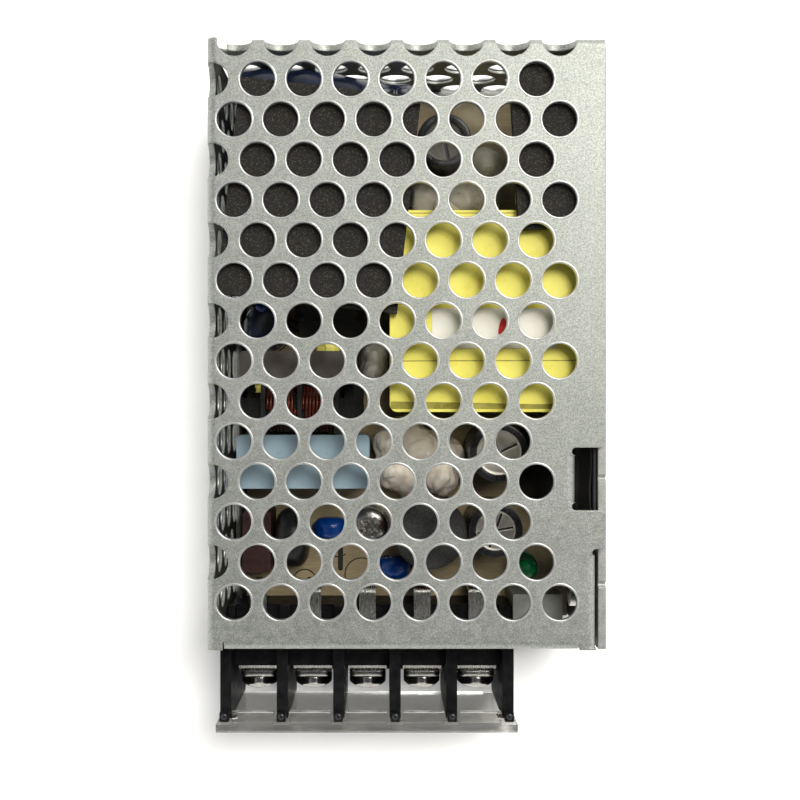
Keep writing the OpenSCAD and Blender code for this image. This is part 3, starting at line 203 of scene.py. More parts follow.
def plain(name, dark, light, patch, grain, rough, metal=0.0, bump=0.3, depth=0.03, coat=0.0,
          spec=0.5, stretch=(1, 1, 1)):
    """A finish whose colour drifts between dark and light in patches, with grain in its bump.

    Patch and grain are cells per metre, and depth is the bump's, in millimetres.
    """
    m, tree, bsdf = new_material(name)
    tone = noise(tree, patch, 4, 0.6, stretch)
    fill_inputs(tree, bsdf, {
        "Base Color": ramp(tree, tone, [(0.32, dark), (0.68, light)]),
        "Roughness": to_range(tree, tone, *rough),
        "Metallic": metal, "Specular IOR Level": spec, "Coat Weight": coat})
    bumped(tree, bsdf, noise(tree, grain, 2, 0.5, stretch), bump, depth)
    return m


def foam(name, dark, light, spark):
    """Dull black, grained finely, with scattered pale grains."""
    m, tree, bsdf = new_material(name)
    grain = noise(tree, 7000, 2, 0.6)
    tone = ramp(tree, grain, [(0.35, dark), (0.65, light)])
    points = ramp(tree, noise(tree, 5200, 1, 0.5), [(0.55, (0, 0, 0)), (0.76, (1, 1, 1))])
    fill_inputs(tree, bsdf, {"Base Color": mixed(tree, tone, spark, points),
                             "Roughness": to_range(tree, grain, 0.7, 0.9),
                             "Specular IOR Level": 0.2})
    bumped(tree, bsdf, grain, 0.8, 0.06, 0.12)
    return m


def left_wall_painted_shade(tree):
    """Painted shade: dark on faces at the far left that look to the right, and white elsewhere."""
    coord = add_node(tree, "TexCoord").outputs
    facing = add_node(tree, "SeparateXYZ", {0: coord["Normal"]}).outputs["X"]
    x = add_node(tree, "SeparateXYZ", {0: coord["Object"]}).outputs["X"]
    on_left = add_node(tree, "Math", {0: x, 1: -22.0 * MM}, operation="LESS_THAN").outputs[0]
    inner = add_node(tree, "Math", {0: facing, 1: on_left}, operation="MULTIPLY").outputs[0]
    return ramp(tree, inner, [(0.35, (1, 1, 1)), (0.85, (0.30, 0.30, 0.30))])


def galvanised(name, dark, light):
    """Zinc-coated sheet: fine bright and darker specks, drifting slowly over the whole sheet, with
    painted shade on the left wall's inner face.
    """
    m, tree, bsdf = new_material(name)
    speck = noise(tree, 5600, 3, 0.7)
    spots = noise(tree, 1300, 2, 0.5)
    broad = noise(tree, 90, 3, 0.5)
    colour = ramp(tree, speck, [(0.38, dark), (0.62, light)])
    # Tone patches, then painted shade on the left wall's inner face.
    for shade in (ramp(tree, spots, [(0.34, (0.90, 0.90, 0.90)), (0.6, (1, 1, 1))]),
                  ramp(tree, broad, [(0.3, (0.93, 0.94, 0.93)), (0.7, (1, 1, 1))]),
                  left_wall_painted_shade(tree)):
        colour = mixed(tree, colour, shade, 1.0, "MULTIPLY")
    fill_inputs(tree, bsdf, {"Base Color": colour, "Metallic": 0.96,
                             "Roughness": to_range(tree, spots, 0.50, 0.58)})
    bumped(tree, bsdf, speck, 0.45, 0.012, 0.26)
    return m


def clear_plastic(name):
    """Clear moulding with a faint haze."""
    m, tree, bsdf = new_material(name)
    haze = noise(tree, 900, 3, 0.5)
    fill_inputs(tree, bsdf, {
        "Base Color": ramp(tree, haze, [(0.3, (0.78, 0.77, 0.74)), (0.7, (0.86, 0.85, 0.82))]),
        "Roughness": to_range(tree, haze, 0.03, 0.10),
        "Transmission Weight": 1.0, "IOR": 1.49})
    bumped(tree, bsdf, haze, 0.02, 0.02)
    return m


def translucent(name, dark, light, rough, through=0.5):
    """Cloudy plastic or silicone that lets a share of the light through."""
    m, tree, bsdf = new_material(name)
    tone = noise(tree, 500, 3, 0.5)
    fill_inputs(tree, bsdf, {"Base Color": ramp(tree, tone, [(0.3, dark), (0.7, light)]),
                             "Roughness": to_range(tree, tone, *rough),
                             "Transmission Weight": through, "IOR": 1.45})
    bumped(tree, bsdf, noise(tree, 2500, 2, 0.5), 0.15, 0.03)
    return m


MATS = {
    "galvanised_sheet": galvanised("galvanised_sheet", (0.50, 0.50, 0.48), (0.66, 0.66, 0.63)),
    "cover_sheet": galvanised("cover_sheet", (0.365, 0.385, 0.36), (0.675, 0.685, 0.64)),
    "screw_steel": plain("screw_steel", (0.55, 0.54, 0.51), (0.74, 0.73, 0.69), patch=900,
                         grain=5000, rough=(0.2, 0.3), metal=1.0, bump=0.2, depth=0.02),
    "terminal_steel": plain("terminal_steel", (0.52, 0.51, 0.49), (0.7, 0.69, 0.66), patch=900,
                            grain=5000, rough=(0.12, 0.2), metal=1.0, bump=0.15, depth=0.02),
    "tinned_strip": plain("tinned_strip", (0.5, 0.49, 0.46), (0.68, 0.67, 0.63), patch=900,
                          grain=2600, rough=(0.2, 0.32), metal=1.0, bump=0.8, depth=0.05,
                          stretch=(7, 1, 1)),
    "black_film": plain("black_film", (0.012, 0.012, 0.012), (0.03, 0.03, 0.03), patch=200,
                        grain=3000, rough=(0.35, 0.5)),
    "board_laminate": plain("board_laminate", (0.28, 0.22, 0.125), (0.38, 0.305, 0.185),
                            patch=500, grain=2500, rough=(0.45, 0.6), bump=0.15,
                            depth=0.02, stretch=(1, 6, 1)),
    "block_plastic": plain("block_plastic", (0.005, 0.005, 0.006), (0.013, 0.013, 0.014),
                           patch=600, grain=5000, rough=(0.35, 0.5), bump=0.25,
                           depth=0.02, spec=0.07),
    "clear_plastic": clear_plastic("clear_plastic"),
    "fuse_plastic": plain("fuse_plastic", (0.022, 0.008, 0.007), (0.052, 0.02, 0.017), patch=1500,
                          grain=3500, rough=(0.5, 0.7), bump=0.6, depth=0.06),
    "thermistor_coat": plain("thermistor_coat", (0.006, 0.006, 0.006), (0.016, 0.016, 0.016),
                             patch=500, grain=2500, rough=(0.3, 0.45), bump=0.3,
                             depth=0.04),
    "cap_box_blue": plain("cap_box_blue", (0.22, 0.3, 0.35), (0.27, 0.355, 0.405), patch=200,
                          grain=2500, rough=(0.12, 0.2), bump=0.15, depth=0.02),
    "cap_box_dark": plain("cap_box_dark", (0.066, 0.056, 0.048), (0.105, 0.09, 0.077), patch=300,
                          grain=2500, rough=(0.35, 0.5), bump=0.15, depth=0.02),
    "ferrite": foam("ferrite", (0.020, 0.020, 0.020), (0.055, 0.055, 0.053), (0.07, 0.07, 0.068)),
    "bobbin_plastic": plain("bobbin_plastic", (0.006, 0.006, 0.006), (0.014, 0.014, 0.014),
                            patch=400, grain=3000, rough=(0.35, 0.5)),
    "copper_wire": plain("copper_wire", (0.1, 0.018, 0.009), (0.19, 0.036, 0.018), patch=900,
                         grain=4000, rough=(0.25, 0.4), metal=0.75, bump=0.1, depth=0.02,
                         coat=0.4),
    "blue_coat": plain("blue_coat", (0.0, 0.025, 0.16), (0.0, 0.05, 0.27), patch=600, grain=2000,
                       rough=(0.12, 0.22), bump=0.1, depth=0.03, coat=0.5),
    "black_epoxy": plain("black_epoxy", (0.015, 0.015, 0.015), (0.03, 0.03, 0.03), patch=500,
                         grain=4000, rough=(0.5, 0.65)),
    "navy_sleeve": plain("navy_sleeve", (0.008, 0.013, 0.035), (0.018, 0.026, 0.055), patch=300,
                         grain=2000, rough=(0.18, 0.3)),
    "black_sleeve": plain("black_sleeve", (0.012, 0.012, 0.014), (0.028, 0.028, 0.03), patch=400,
                          grain=1500, rough=(0.2, 0.35), bump=0.3, depth=0.05),
    "sink_aluminium": plain("sink_aluminium", (0.5, 0.5, 0.5), (0.7, 0.7, 0.7), patch=400,
                            grain=4000, rough=(0.3, 0.45), metal=1.0, bump=0.2, depth=0.02,
                            stretch=(1, 8, 1)),
    "pad_silicone": foam("pad_silicone", (0.010, 0.009, 0.008), (0.025, 0.023, 0.021),
                         (0.066, 0.062, 0.055)),
    "resistor_coat": plain("resistor_coat", (0.1, 0.22, 0.3), (0.16, 0.3, 0.38), patch=400,
                           grain=2500, rough=(0.25, 0.4)),
    "yellow_tape": plain("yellow_tape", (0.66, 0.59, 0.1), (0.76, 0.7, 0.16), patch=160,
                         grain=1800, rough=(0.22, 0.38), bump=0.2, depth=0.03),
    "label_paper": plain("label_paper", (0.6, 0.58, 0.52), (0.69, 0.67, 0.61), patch=300,
                         grain=3500, rough=(0.4, 0.55), bump=0.15, depth=0.02),
    "green_lens": translucent("green_lens", (0.0, 0.10, 0.02), (0.01, 0.30, 0.09), (0.08, 0.15)),
    "adjuster_plastic": plain("adjuster_plastic", (0.24, 0.25, 0.225), (0.33, 0.34, 0.305),
                              patch=500, grain=3000, rough=(0.35, 0.5)),
    "can_aluminium": plain("can_aluminium", (0.6, 0.57, 0.5), (0.76, 0.72, 0.64), patch=700,
                           grain=3500, rough=(0.35, 0.5), metal=1.0, bump=0.2, depth=0.02),
    "pale_silicone": translucent("pale_silicone", (0.62, 0.52, 0.36), (0.80, 0.72, 0.55),
                                 (0.2, 0.35), 0.25),
}


# ---------- mesh helpers ----------

def from_rings(rings, closed_ends=True):
    """Skin over a list of rings with the same number of points; each end closes to its middle."""
    bm = bmesh.new()
    rows = [[bm.verts.new(p) for p in ring] for ring in rings]
    count = len(rows[0])
    for a, b in zip(rows, rows[1:]):
        for k in range(count):
            n = (k + 1) % count
            bm.faces.new((a[k], a[n], b[n], b[k]))
    if closed_ends:
        for row, turn in ((rows[0], 1), (rows[-1], -1)):
            middle = bm.verts.new(sum((v.co for v in row), Vector()) / count)
            for k in range(count):
                n = (k + 1) % count
                face = (row[n], row[k], middle) if turn > 0 else (row[k], row[n], middle)
                bm.faces.new(face)
    bmesh.ops.recalc_face_normals(bm, faces=bm.faces)
    return bm


def circle(radius, height, count):
    """Ring of points round Z; radius and height are numbers or functions of the angle."""
    points = []
    for k in range(count):
        a = 2 * math.pi * k / count
        r = radius(a) if callable(radius) else radius
        z = height(a) if callable(height) else height
        points.append(Vector((r * math.cos(a), r * math.sin(a), z)))
    return points


def sweep(points, radius, sides=8):
    """Tube along a line of points; radius is a number or a function of the share of the way."""
    rings = []
    side = None
    for k, p in enumerate(points):
        ahead = (points[min(k + 1, len(points) - 1)] - points[max(k - 1, 0)]).normalized()
        if side is None:
            side = ahead.orthogonal().normalized()
        side = (side - ahead * side.dot(ahead)).normalized()
        up = ahead.cross(side)
        r = radius(k / (len(points) - 1)) if callable(radius) else radius
        rings.append([p + (side * math.cos(a) + up * math.sin(a)) * r
                      for a in (2 * math.pi * n / sides for n in range(sides))])
    return from_rings(rings)


def moved(bm, matrix):
    """The same mesh, carried by a matrix."""
    bmesh.ops.transform(bm, matrix=matrix, verts=bm.verts)
    return bm


def joined(parts):
    """One mesh out of several."""
    whole = bmesh.new()
    for part in parts:
        mesh = bpy.data.meshes.new("part")
        part.to_mesh(mesh)
        part.free()
        whole.from_mesh(mesh)
        bpy.data.meshes.remove(mesh)
    return whole


def add_piece(name, bm, slot, body="root", replaces=(), place=None, material=None, flat=False):
    """Turns a mesh into a visible piece that moves with its body."""
    mesh = bpy.data.meshes.new(name)
    if place is not None:
        moved(bm, place)
    bm.to_mesh(mesh)
    bm.free()
    for face in mesh.polygons:
        face.use_smooth = not flat
    obj = bpy.data.objects.new(name, mesh)
    scene.collection.objects.link(obj)
    mesh.materials.append(material or MATS[slot])
    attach(obj, body)
    if replaces:
        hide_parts(*replaces)
    return obj


def pointing(direction, at):
    """Matrix that carries +Z to a direction and the origin to a place."""
    turn = Vector(direction).to_track_quat("Z", "Y").to_matrix().to_4x4()
    return Matrix.Translation(Vector(at)) @ turn


def middle_of(node):
    """Middle of a CAD node's box."""
    low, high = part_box(node)
    return (low + high) / 2


def smooth_step(value, low, high):
    """Runs from 0 at low to 1 at high without a corner."""
    t = min(1.0, max(0.0, (value - low) / (high - low)))
    return t * t * (3 - 2 * t)


# ---------- screws and washers ----------

def cross_depth(x, y, reach, width, depth):
    """Depth of a cross recess at a point of a screw's head."""
    def arm(along, across):
        inside = 1 - smooth_step(abs(across), width * 0.35, width * 0.55)
        return inside * (1 - smooth_step(abs(along), reach * 0.55, reach))
    return depth * max(arm(x, y), arm(y, x))


def screw_mesh(head_r, head_h, shank_r, shank_l, dome):
    """Screw with a cross recess and a real thread; its head points along +Z from z = 0."""
    sides, head_rings, steps_per_turn = 64, 26, 6
    crown = head_h * dome
    rings = []
    for k in range(1, head_rings + 1):
        share = k / head_rings
        ring = []
        for p in circle(head_r * share, 0, sides):
            sink = cross_depth(p.x, p.y, head_r * 0.62, head_r * 0.34, head_h * 0.6)
            ring.append(Vector((p.x, p.y, head_h - crown * share ** 4 - sink)))
        rings.append(ring)
    for share in (0.75, 0.5, 0.25, 0.0):
        rings.append(circle(head_r, (head_h - crown) * share, sides))
    rings.append(circle(shank_r, 0, sides))
    steps = int(shank_l / THREAD_PITCH * steps_per_turn)
    for n in range(1, steps + 1):
        z = -shank_l * n / steps
        fade = 1 - smooth_step(n / steps, 0.9, 1.0)

        def wall(a, z=z, fade=fade):
            phase = (z / THREAD_PITCH - a / (2 * math.pi)) % 1.0
            return shank_r - 0.3 * MM * fade * abs(2 * phase - 1) - 0.4 * MM * (1 - fade)
        rings.append(circle(wall, z, sides))
    return from_rings(rings)


def terminal_hardware():
    """Pan screws and square clamp washers of the five terminals."""
    for i in range(1, 6):
        washer_low, washer_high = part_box(f"terminal_washer_{i}")
        screw_low, screw_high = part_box(f"terminal_screw_{i}")
        centre = middle_of(f"terminal_washer_{i}")
        seat = Vector((centre.x, washer_low.y, centre.z))
        turn = Matrix.Rotation(math.radians(37 * i), 4, "Z")
        screw = screw_mesh((screw_high.x - screw_low.x) / 2, washer_low.y - screw_low.y, 1.43 * MM,
                           screw_high.y - washer_low.y, 0.45)
        add_piece(f"terminal_screw_detail_{i}", screw, "terminal_steel", f"screw_{i}",
                  [f"terminal_screw_{i}"], pointing((0, -1, 0), seat) @ turn)
        washer = washer_mesh((washer_high.x - washer_low.x) / 2, washer_high.y - washer_low.y,
                             1.56 * MM)
        place = pointing((0, -1, 0), Vector((centre.x, washer_high.y, centre.z)))
        add_piece(f"clamp_washer_{i}", washer, "screw_steel", f"clamp_{i}",
                  [f"terminal_washer_{i}"], place)


def washer_mesh(half, thick, hole_r):
    """Square washer with round corners, soft edges, and two shallow ridges across its face."""
    sides, face_rings, squareness = 96, 8, 7.0
    edge = thick * 0.3

    def outline(grow):
        def radius(a):
            c, s = abs(math.cos(a)), abs(math.sin(a))
            return (half + grow) / (c ** squareness + s ** squareness) ** (1 / squareness)
        return radius
    rings = [circle(hole_r, 0, sides), circle(hole_r, thick, sides)]
    for k in range(1, face_rings + 1):
        def between(a, k=k):
            return hole_r + (outline(-edge)(a) - hole_r) * k / face_rings

        def height(a, k=k):
            y = between(a, k) * math.sin(a)
            return thick - 0.08 * MM * (0.5 + 0.5 * math.cos(y / half * math.pi * 3))
        rings.append(circle(between, height, sides))
    for degrees in (30, 60, 90):
        a = math.radians(degrees)
        rings.append(circle(outline(-edge * (1 - math.sin(a))), thick - edge * (1 - math.cos(a)),
                            sides))
    for degrees in (0, 45, 90):
        a = math.radians(degrees)
        rings.append(circle(outline(-edge * (1 - math.cos(a))), edge * (1 - math.sin(a)), sides))
    rings.append(circle(hole_r, 0, sides))
    return from_rings(rings, closed_ends=False)


def board_screw_details():
    """Threaded pan heads in place of the three plain board screws."""
    head_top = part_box("board_screws")[1].z
    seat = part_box("board_screw_washers")[1].z
    for k, (low, high) in enumerate(loose_parts("board_screws"), 1):
        screw = screw_mesh((high.x - low.x) / 2, head_top - seat, 1.18 * MM, seat - low.z, 0.4)
        place = Matrix.Translation(((low.x + high.x) / 2, (low.y + high.y) / 2, seat))
        add_piece(f"board_screw_{k}", screw, "screw_steel", replaces=["board_screws"],
                  place=place @ Matrix.Rotation(0.6 * k, 4, "Z"))


def loose_parts(node):
    """Boxes of the separate solids in one CAD node."""
    bm = bmesh.new()
    bm.from_mesh(NODES[node].data)
    bmesh.ops.remove_doubles(bm, verts=bm.verts, dist=1e-6)
    left = set(bm.verts)
    boxes = []
    while left:
        group, todo = [], [left.pop()]
        while todo:
            v = todo.pop()
            group.append(v.co.copy())
            for edge in v.link_edges:
                other = edge.other_vert(v)
                if other in left:
                    left.remove(other)
                    todo.append(other)
        boxes.append((Vector([min(c[n] for c in group) for n in range(3)]),
                      Vector([max(c[n] for c in group) for n in range(3)])))
    bm.free()
    return sorted(boxes, key=lambda b: (round(b[0].y, 4), round(b[0].x, 4)))


# ---------- cover ----------

def punched_holes():
    """Centre, radius and outward direction of each round hole in the cover's flat outer faces."""
    bm = bmesh.new()
    bm.from_mesh(NODES["vent_cover"].data)
    bmesh.ops.remove_doubles(bm, verts=bm.verts, dist=1e-6)
    faces = ((Vector((0, 0, 1)), TOP), (Vector((-1, 0, 0)), -CASE_LOW.x),
             (Vector((0, 1, 0)), CASE_HIGH.y))
    holes = []
    for out, reach in faces:
        sheet = {f for f in bm.faces if f.normal.dot(out) > 0.99
                 and abs(f.calc_center_median().dot(out) - reach) < 1e-5}
        rim = {e for e in bm.edges if sum(f in sheet for f in e.link_faces) == 1}
        while rim:
            group, todo = [], [rim.pop()]
            while todo:
                for v in todo.pop().verts:
                    group.append(v.co.copy())
                    for other in v.link_edges:
                        if other in rim:
                            rim.remove(other)
                            todo.append(other)
            low = Vector([min(p[n] for p in group) for n in range(3)])
            high = Vector([max(p[n] for p in group) for n in range(3)])
            centre, r = (low + high) / 2, max(high - low) / 2
            uneven = max(abs((p - centre).length - r) for p in group)
            if uneven < 0.1 * MM and 1.9 * MM < r < 2.6 * MM:
                holes.append((centre, r, out))
    bm.free()
    return sorted(holes, key=lambda h: tuple(round(c, 4) for c in h[0]))


def hole_lips():
    """Rolled rims of the punched holes, a few hundredths of a millimetre proud of the sheet."""
    profile = [(-0.03, -0.45), (-0.035, -0.16), (-0.01, -0.05), (0.05, 0.02), (0.13, 0.05),
               (0.21, 0.03), (0.28, -0.01), (0.28, -0.06), (0.02, -0.45)]
    # The rims take a paler copy of the cover metal: partly burnish, partly painted highlight.
    rim_burnish_and_highlight = plain("rim_burnish_and_painted_highlight", (0.68, 0.68, 0.66), (0.84, 0.84, 0.82), patch=1200,
                      grain=4200, rough=(0.3, 0.42), metal=1.0, bump=0.3, depth=0.012)
    sides = 44
    bm = bmesh.new()
    for centre, r, out in punched_holes():
        place = pointing(out, centre)
        rows = [[bm.verts.new(place @ p) for p in circle(r + wide * MM, up * MM, sides)]
                for wide, up in profile]
        for a, b in zip(rows, rows[1:] + rows[:1]):
            for k in range(sides):
                n = (k + 1) % sides
                bm.faces.new((a[k], a[n], b[n], b[k]))
    bmesh.ops.recalc_face_normals(bm, faces=bm.faces)
    add_piece("hole_lips", bm, "cover_sheet", material=rim_burnish_and_highlight)


def corner_strip():
    """Rear wall's narrow end beside the cover's whole left corner."""
    x0, x1, y0, y1, z0, z1 = -24.55, -22.8, 38.16, 38.94, 1.2, 24.2
    rings = []
    for k in range(13):
        x = x0 + (x1 - x0) * k / 12
        top = z1 - 0.9 * math.sin(math.pi / 2 * k / 12)
        ring = []
        for y, z in ((y0, z0), (y1, z0), (y1, top - 0.15), (y1 - 0.15, top), (y0 + 0.15, top),
                     (y0, top - 0.15)):
            ring.append(Vector((x, y, z)) * MM)
        rings.append(ring)
    add_piece("corner_strip", from_rings(rings), "cover_sheet", flat=True)


# ---------- wound and dipped parts ----------

def helix(centre, radius, start, length, turns, axis):
    """Points of a coil round the X or Z axis through centre."""
    per_turn = 28
    points = []
    for k in range(int(turns * per_turn) + 1):
        a = 2 * math.pi * k / per_turn
        along = start + length * k / (turns * per_turn)
        c, s = radius * math.cos(a), radius * math.sin(a)
        if axis == "X":
            points.append(Vector((along, centre.y + s, centre.z + c)))
        else:
            points.append(Vector((centre.x + c, centre.y + s, along)))
    return points


def choke_coils():
    """Two windings of enamelled wire on the line choke, two layers each."""
    low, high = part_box("choke_bobbin")
    centre = (low + high) / 2
    wire = 0.21 * MM
    outer = (high.y - low.y) / 2 - 0.15 * MM - wire
    wall = 0.6 * MM
    coil_l = ((high.x - low.x) - 3 * wall) / 2 - 0.1 * MM
    for k in (0, 1):
        x0 = low.x + wall + wire + k * (coil_l + wall)
        span = coil_l - 2 * wire
        turns = int(span / (2.15 * wire))
        parts = []
        for layer in (0, 1):
            r = outer - layer * 1.8 * wire
            parts.append(sweep(helix(centre, r, x0, span, turns, "X"), wire))
        for s, x in ((-1, x0), (1, x0 + span)):
            down = [Vector((x, centre.y + s * outer, centre.z)),
                    Vector((x, centre.y + s * outer, (centre.z + BOARD_TOP) / 2)),
                    Vector((x, centre.y + s * outer, LEAD_END))]
            parts.append(sweep(down, wire * 1.1))
        add_piece(f"choke_coil_{k + 1}", joined(parts), "copper_wire",
                  replaces=["choke_windings"])


def drum_coil():
    """One layer of wire on the output choke."""
    low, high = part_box("output_choke_winding")
    wire = 0.3 * MM
    turns = int((high.z - low.z - 2 * wire) / (2.1 * wire))
    line = helix((low + high) / 2, (high.x - low.x) / 2 - wire, low.z + wire,
                 high.z - low.z - 2 * wire, turns, "Z")
    add_piece("drum_coil", sweep(line, wire), "copper_wire", replaces=["output_choke_winding"])


def dipped_disc(name, slot, box, across, leads, replaces, seed):
    """Disc part in a dipped coat: bulged, a little uneven, and drawn down along its leads."""
    low, high = box
    centre = Vector(((low.x + high.x) / 2, (low.y + high.y) / 2, 0))
    d = (high.y - low.y) if across == "X" else (high.x - low.x)
    t = (high.x - low.x) if across == "X" else (high.y - low.y)
    centre.z = high.z - d / 2
    rng = random.Random(seed)
    waves = [(rng.uniform(0.6, 1.0), rng.randint(2, 5), rng.uniform(0, 6.28)) for _ in range(4)]
    rings = []
    steps = 28
    for k in range(1, steps):
        a = math.pi * k / steps
        r0 = d / 2 * math.sin(a) ** 0.55
        z0 = t / 2 * math.copysign(abs(math.cos(a)) ** 0.85, math.cos(a))

        def radius(b, r0=r0, a=a):
            wave = sum(w * math.sin(n * b + p) for w, n, p in waves) / len(waves)
            return r0 * (0.985 + 0.012 * wave * math.sin(a))
        rings.append(circle(radius, z0, 72))
    direction = (1, 0, 0) if across == "X" else (0, 1, 0)
    parts = [moved(from_rings(rings), pointing(direction, centre))]
    for x, y in leads:
        top = centre.z - d * 0.28
        line = [Vector((x, y, top + (LEAD_END - top) * n / 12)) for n in range(13)]
        parts.append(sweep(line, lambda s: 0.3 * MM + 0.6 * MM * math.exp(-4 * s), 12))
    add_piece(name, joined(parts), slot, replaces=replaces)


def dipped_parts():
    """Thermistor and disc capacitors."""
    low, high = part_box("thermistor")
    x, y = (low.x + high.x) / 2, (low.y + high.y) / 2
    dipped_disc("thermistor_disc", "thermistor_coat", (low, high), "X",
                [(x, y - 2.5 * MM), (x, y + 2.5 * MM)], ["thermistor"], 3)
    for k, (lo, hi) in enumerate(loose_parts("disc_capacitors"), 1):
        x, y = (lo.x + hi.x) / 2, (lo.y + hi.y) / 2
        dipped_disc(f"disc_capacitor_{k}", "blue_coat", (lo, hi), "Y",
                    [(x - 1.9 * MM, y), (x + 1.9 * MM, y)], ["disc_capacitors"], 10 + k)


def can_tops():
    """Bare aluminium tops with a scored vent, inside the folded rim of each can's sleeve."""
    # Darker copy of the can aluminium for the auxiliary capacitor's top: painted shade from the
    # pad above it.
    painted_shade_aluminium = plain("aluminium_painted_shade", (0.1, 0.095, 0.085), (0.19, 0.18, 0.16), patch=700, grain=3500,
                 rough=(0.4, 0.55), metal=1.0, bump=0.2, depth=0.02)
    cans = (("output_capacitor_1", 25, 2, MATS["can_aluminium"]),
            ("output_capacitor_2", 70, 3, MATS["can_aluminium"]),
            ("auxiliary_capacitor", 10, 2, painted_shade_aluminium))
    plate_rings, plate_sides, dish_depth = 30, 144, 0.12 * MM
    groove, groove_depth = 0.16 * MM, 0.13 * MM
    rim_steps, rim_sides, rim_wide = 12, 180, 0.5 * MM
    for index, (node, turn, arms, finish) in enumerate(cans):
        low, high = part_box(node)
        r = (high.x - low.x) / 2
        plate_r = r - 0.85 * MM
        rings = []
        for k in range(1, plate_rings + 1):
            ring = []
            for p in circle(plate_r * k / plate_rings, 0, plate_sides):
                sink = 0.0
                for n in range(arms):
                    a = math.radians(turn) + math.pi * n / arms
                    off = abs(-p.x * math.sin(a) + p.y * math.cos(a))
                    sink = max(sink, math.exp(-(off / groove) ** 2))
                fade = 1 - smooth_step(p.length, plate_r * 0.82, plate_r * 0.9)
                dish = dish_depth * smooth_step(p.length, plate_r * 0.86, plate_r)
                ring.append(Vector((p.x, p.y, dish - groove_depth * sink * fade)))
            rings.append(ring)
        rings.append(circle(plate_r, -0.3 * MM, plate_sides))
        place = Matrix.Translation(((low.x + high.x) / 2, (low.y + high.y) / 2, high.z - 0.2 * MM))
        add_piece(f"can_top_{index + 1}", from_rings(rings), "sink_aluminium", place=place,
                  material=finish)
        rim = []
        for k in range(rim_steps + 1):
            a = math.pi * k / rim_steps

            def radius(b, a=a):
                fold = 1 + 0.025 * math.sin(7 * b + index) * math.sin(3 * b)
                return r - rim_wide * fold + rim_wide * math.cos(a) * 0.98

            def height(b, a=a):
                return 0.12 * MM + 0.1 * MM * math.sin(a) * (1 + 0.15 * math.sin(5 * b + index))
            rim.append(circle(radius, height, rim_sides))
        add_piece(f"sleeve_rim_{index + 1}", from_rings(rim, False), "black_sleeve", place=place)


# ---------- silicone, sleeves, tape and print ----------

def blob(name, lumps, material, wrinkle=0.0):
    """Set silicone: lumps (x, y, top, radius in mm) melted together down to the board."""
    floor_z = BOARD_TOP / MM
    below = 0.4
    parts = []
    for x, y, top, radius in lumps:
        bm = bmesh.new()
        bmesh.ops.create_icosphere(bm, subdivisions=4, radius=1.0)
        tall = (top - floor_z + below) / 2
        place = Matrix.Translation((x * MM, y * MM, (floor_z - below + tall) * MM))
        parts.append(moved(bm, place @ Matrix.Diagonal((radius * MM, radius * MM, tall * MM, 1))))
    whole = joined(parts)
    mesh = bpy.data.meshes.new(name)
    whole.to_mesh(mesh)
    whole.free()
    rough = bpy.data.objects.new(name + "_rough", mesh)
    scene.collection.objects.link(rough)
    melt = rough.modifiers.new("melt", "REMESH")
    melt.mode = "VOXEL"
    melt.voxel_size = 0.35 * MM
    relax = rough.modifiers.new("relax", "SMOOTH")
    relax.factor = 0.5
    relax.iterations = 6
    bpy.context.view_layer.update()
    ready = rough.evaluated_get(bpy.context.evaluated_depsgraph_get())
    melted = bpy.data.meshes.new_from_object(ready)
    bm = bmesh.new()
    bm.from_mesh(melted)
    bpy.data.objects.remove(rough)
    bm.normal_update()
    for v in bm.verts:
        p = v.co / MM
        fold = vector_noise.noise(Vector((p.x * 0.45, p.y * 0.45, p.z * 0.9)))
        crease = abs(vector_noise.noise(Vector((p.x * 0.8 + 7, p.y * 0.5, p.z * 0.4))))
        v.co += v.normal * MM * (0.35 * fold - wrinkle * max(0.0, 0.25 - crease) * 2)
        v.co.z = max(v.co.z, (floor_z - 0.05) * MM)
    add_piece(name, bm, "pale_silicone", material=material)


def silicone():
    """Adhesive between the tall parts, and compound over the rear right board screw."""
    cream = translucent("cream_silicone", (0.82, 0.71, 0.58), (0.95, 0.89, 0.79), (0.18, 0.3),
                        0.15)
    olive = translucent("grey_silicone", (0.34, 0.32, 0.25), (0.48, 0.45, 0.36), (0.25, 0.4), 0.2)
    milky = translucent("milky_silicone", (0.58, 0.55, 0.47), (0.80, 0.77, 0.68), (0.12, 0.22),
                        0.25)
    blob("cream_blob", [(1.2, -18.2, 15.5, 3.0), (4.9, -18.0, 16.8, 2.8), (6.2, -14.8, 15.5, 2.4),
                        (2.2, -14.2, 15.5, 3.2), (-1.6, -17.0, 15.0, 3.0),
                        (0.2, -11.6, 14.5, 2.5), (-2.6, -13.2, 14.0, 2.1)], cream, 0.5)
    blob("rear_blob", [(2.9, 20.9, 14.2, 2.9), (7.0, 20.7, 15.2, 3.2), (10.6, 21.4, 15.2, 3.2),
                       (11.3, 25.6, 15.0, 3.0)], olive)
    beige = plain("staking_compound", (0.3, 0.25, 0.155), (0.4, 0.34, 0.22), patch=500,
                  grain=2500, rough=(0.4, 0.55))
    blob("screw_staking", [(9.9, 33.2, 9.5, 3.25), (8.6, 32.0, 8.6, 2.2)], beige)
    blob("side_blob", [(-4.35, -2.9, 16.4, 2.1), (-4.2, -0.8, 15.6, 2.1)], milky, 0.35)


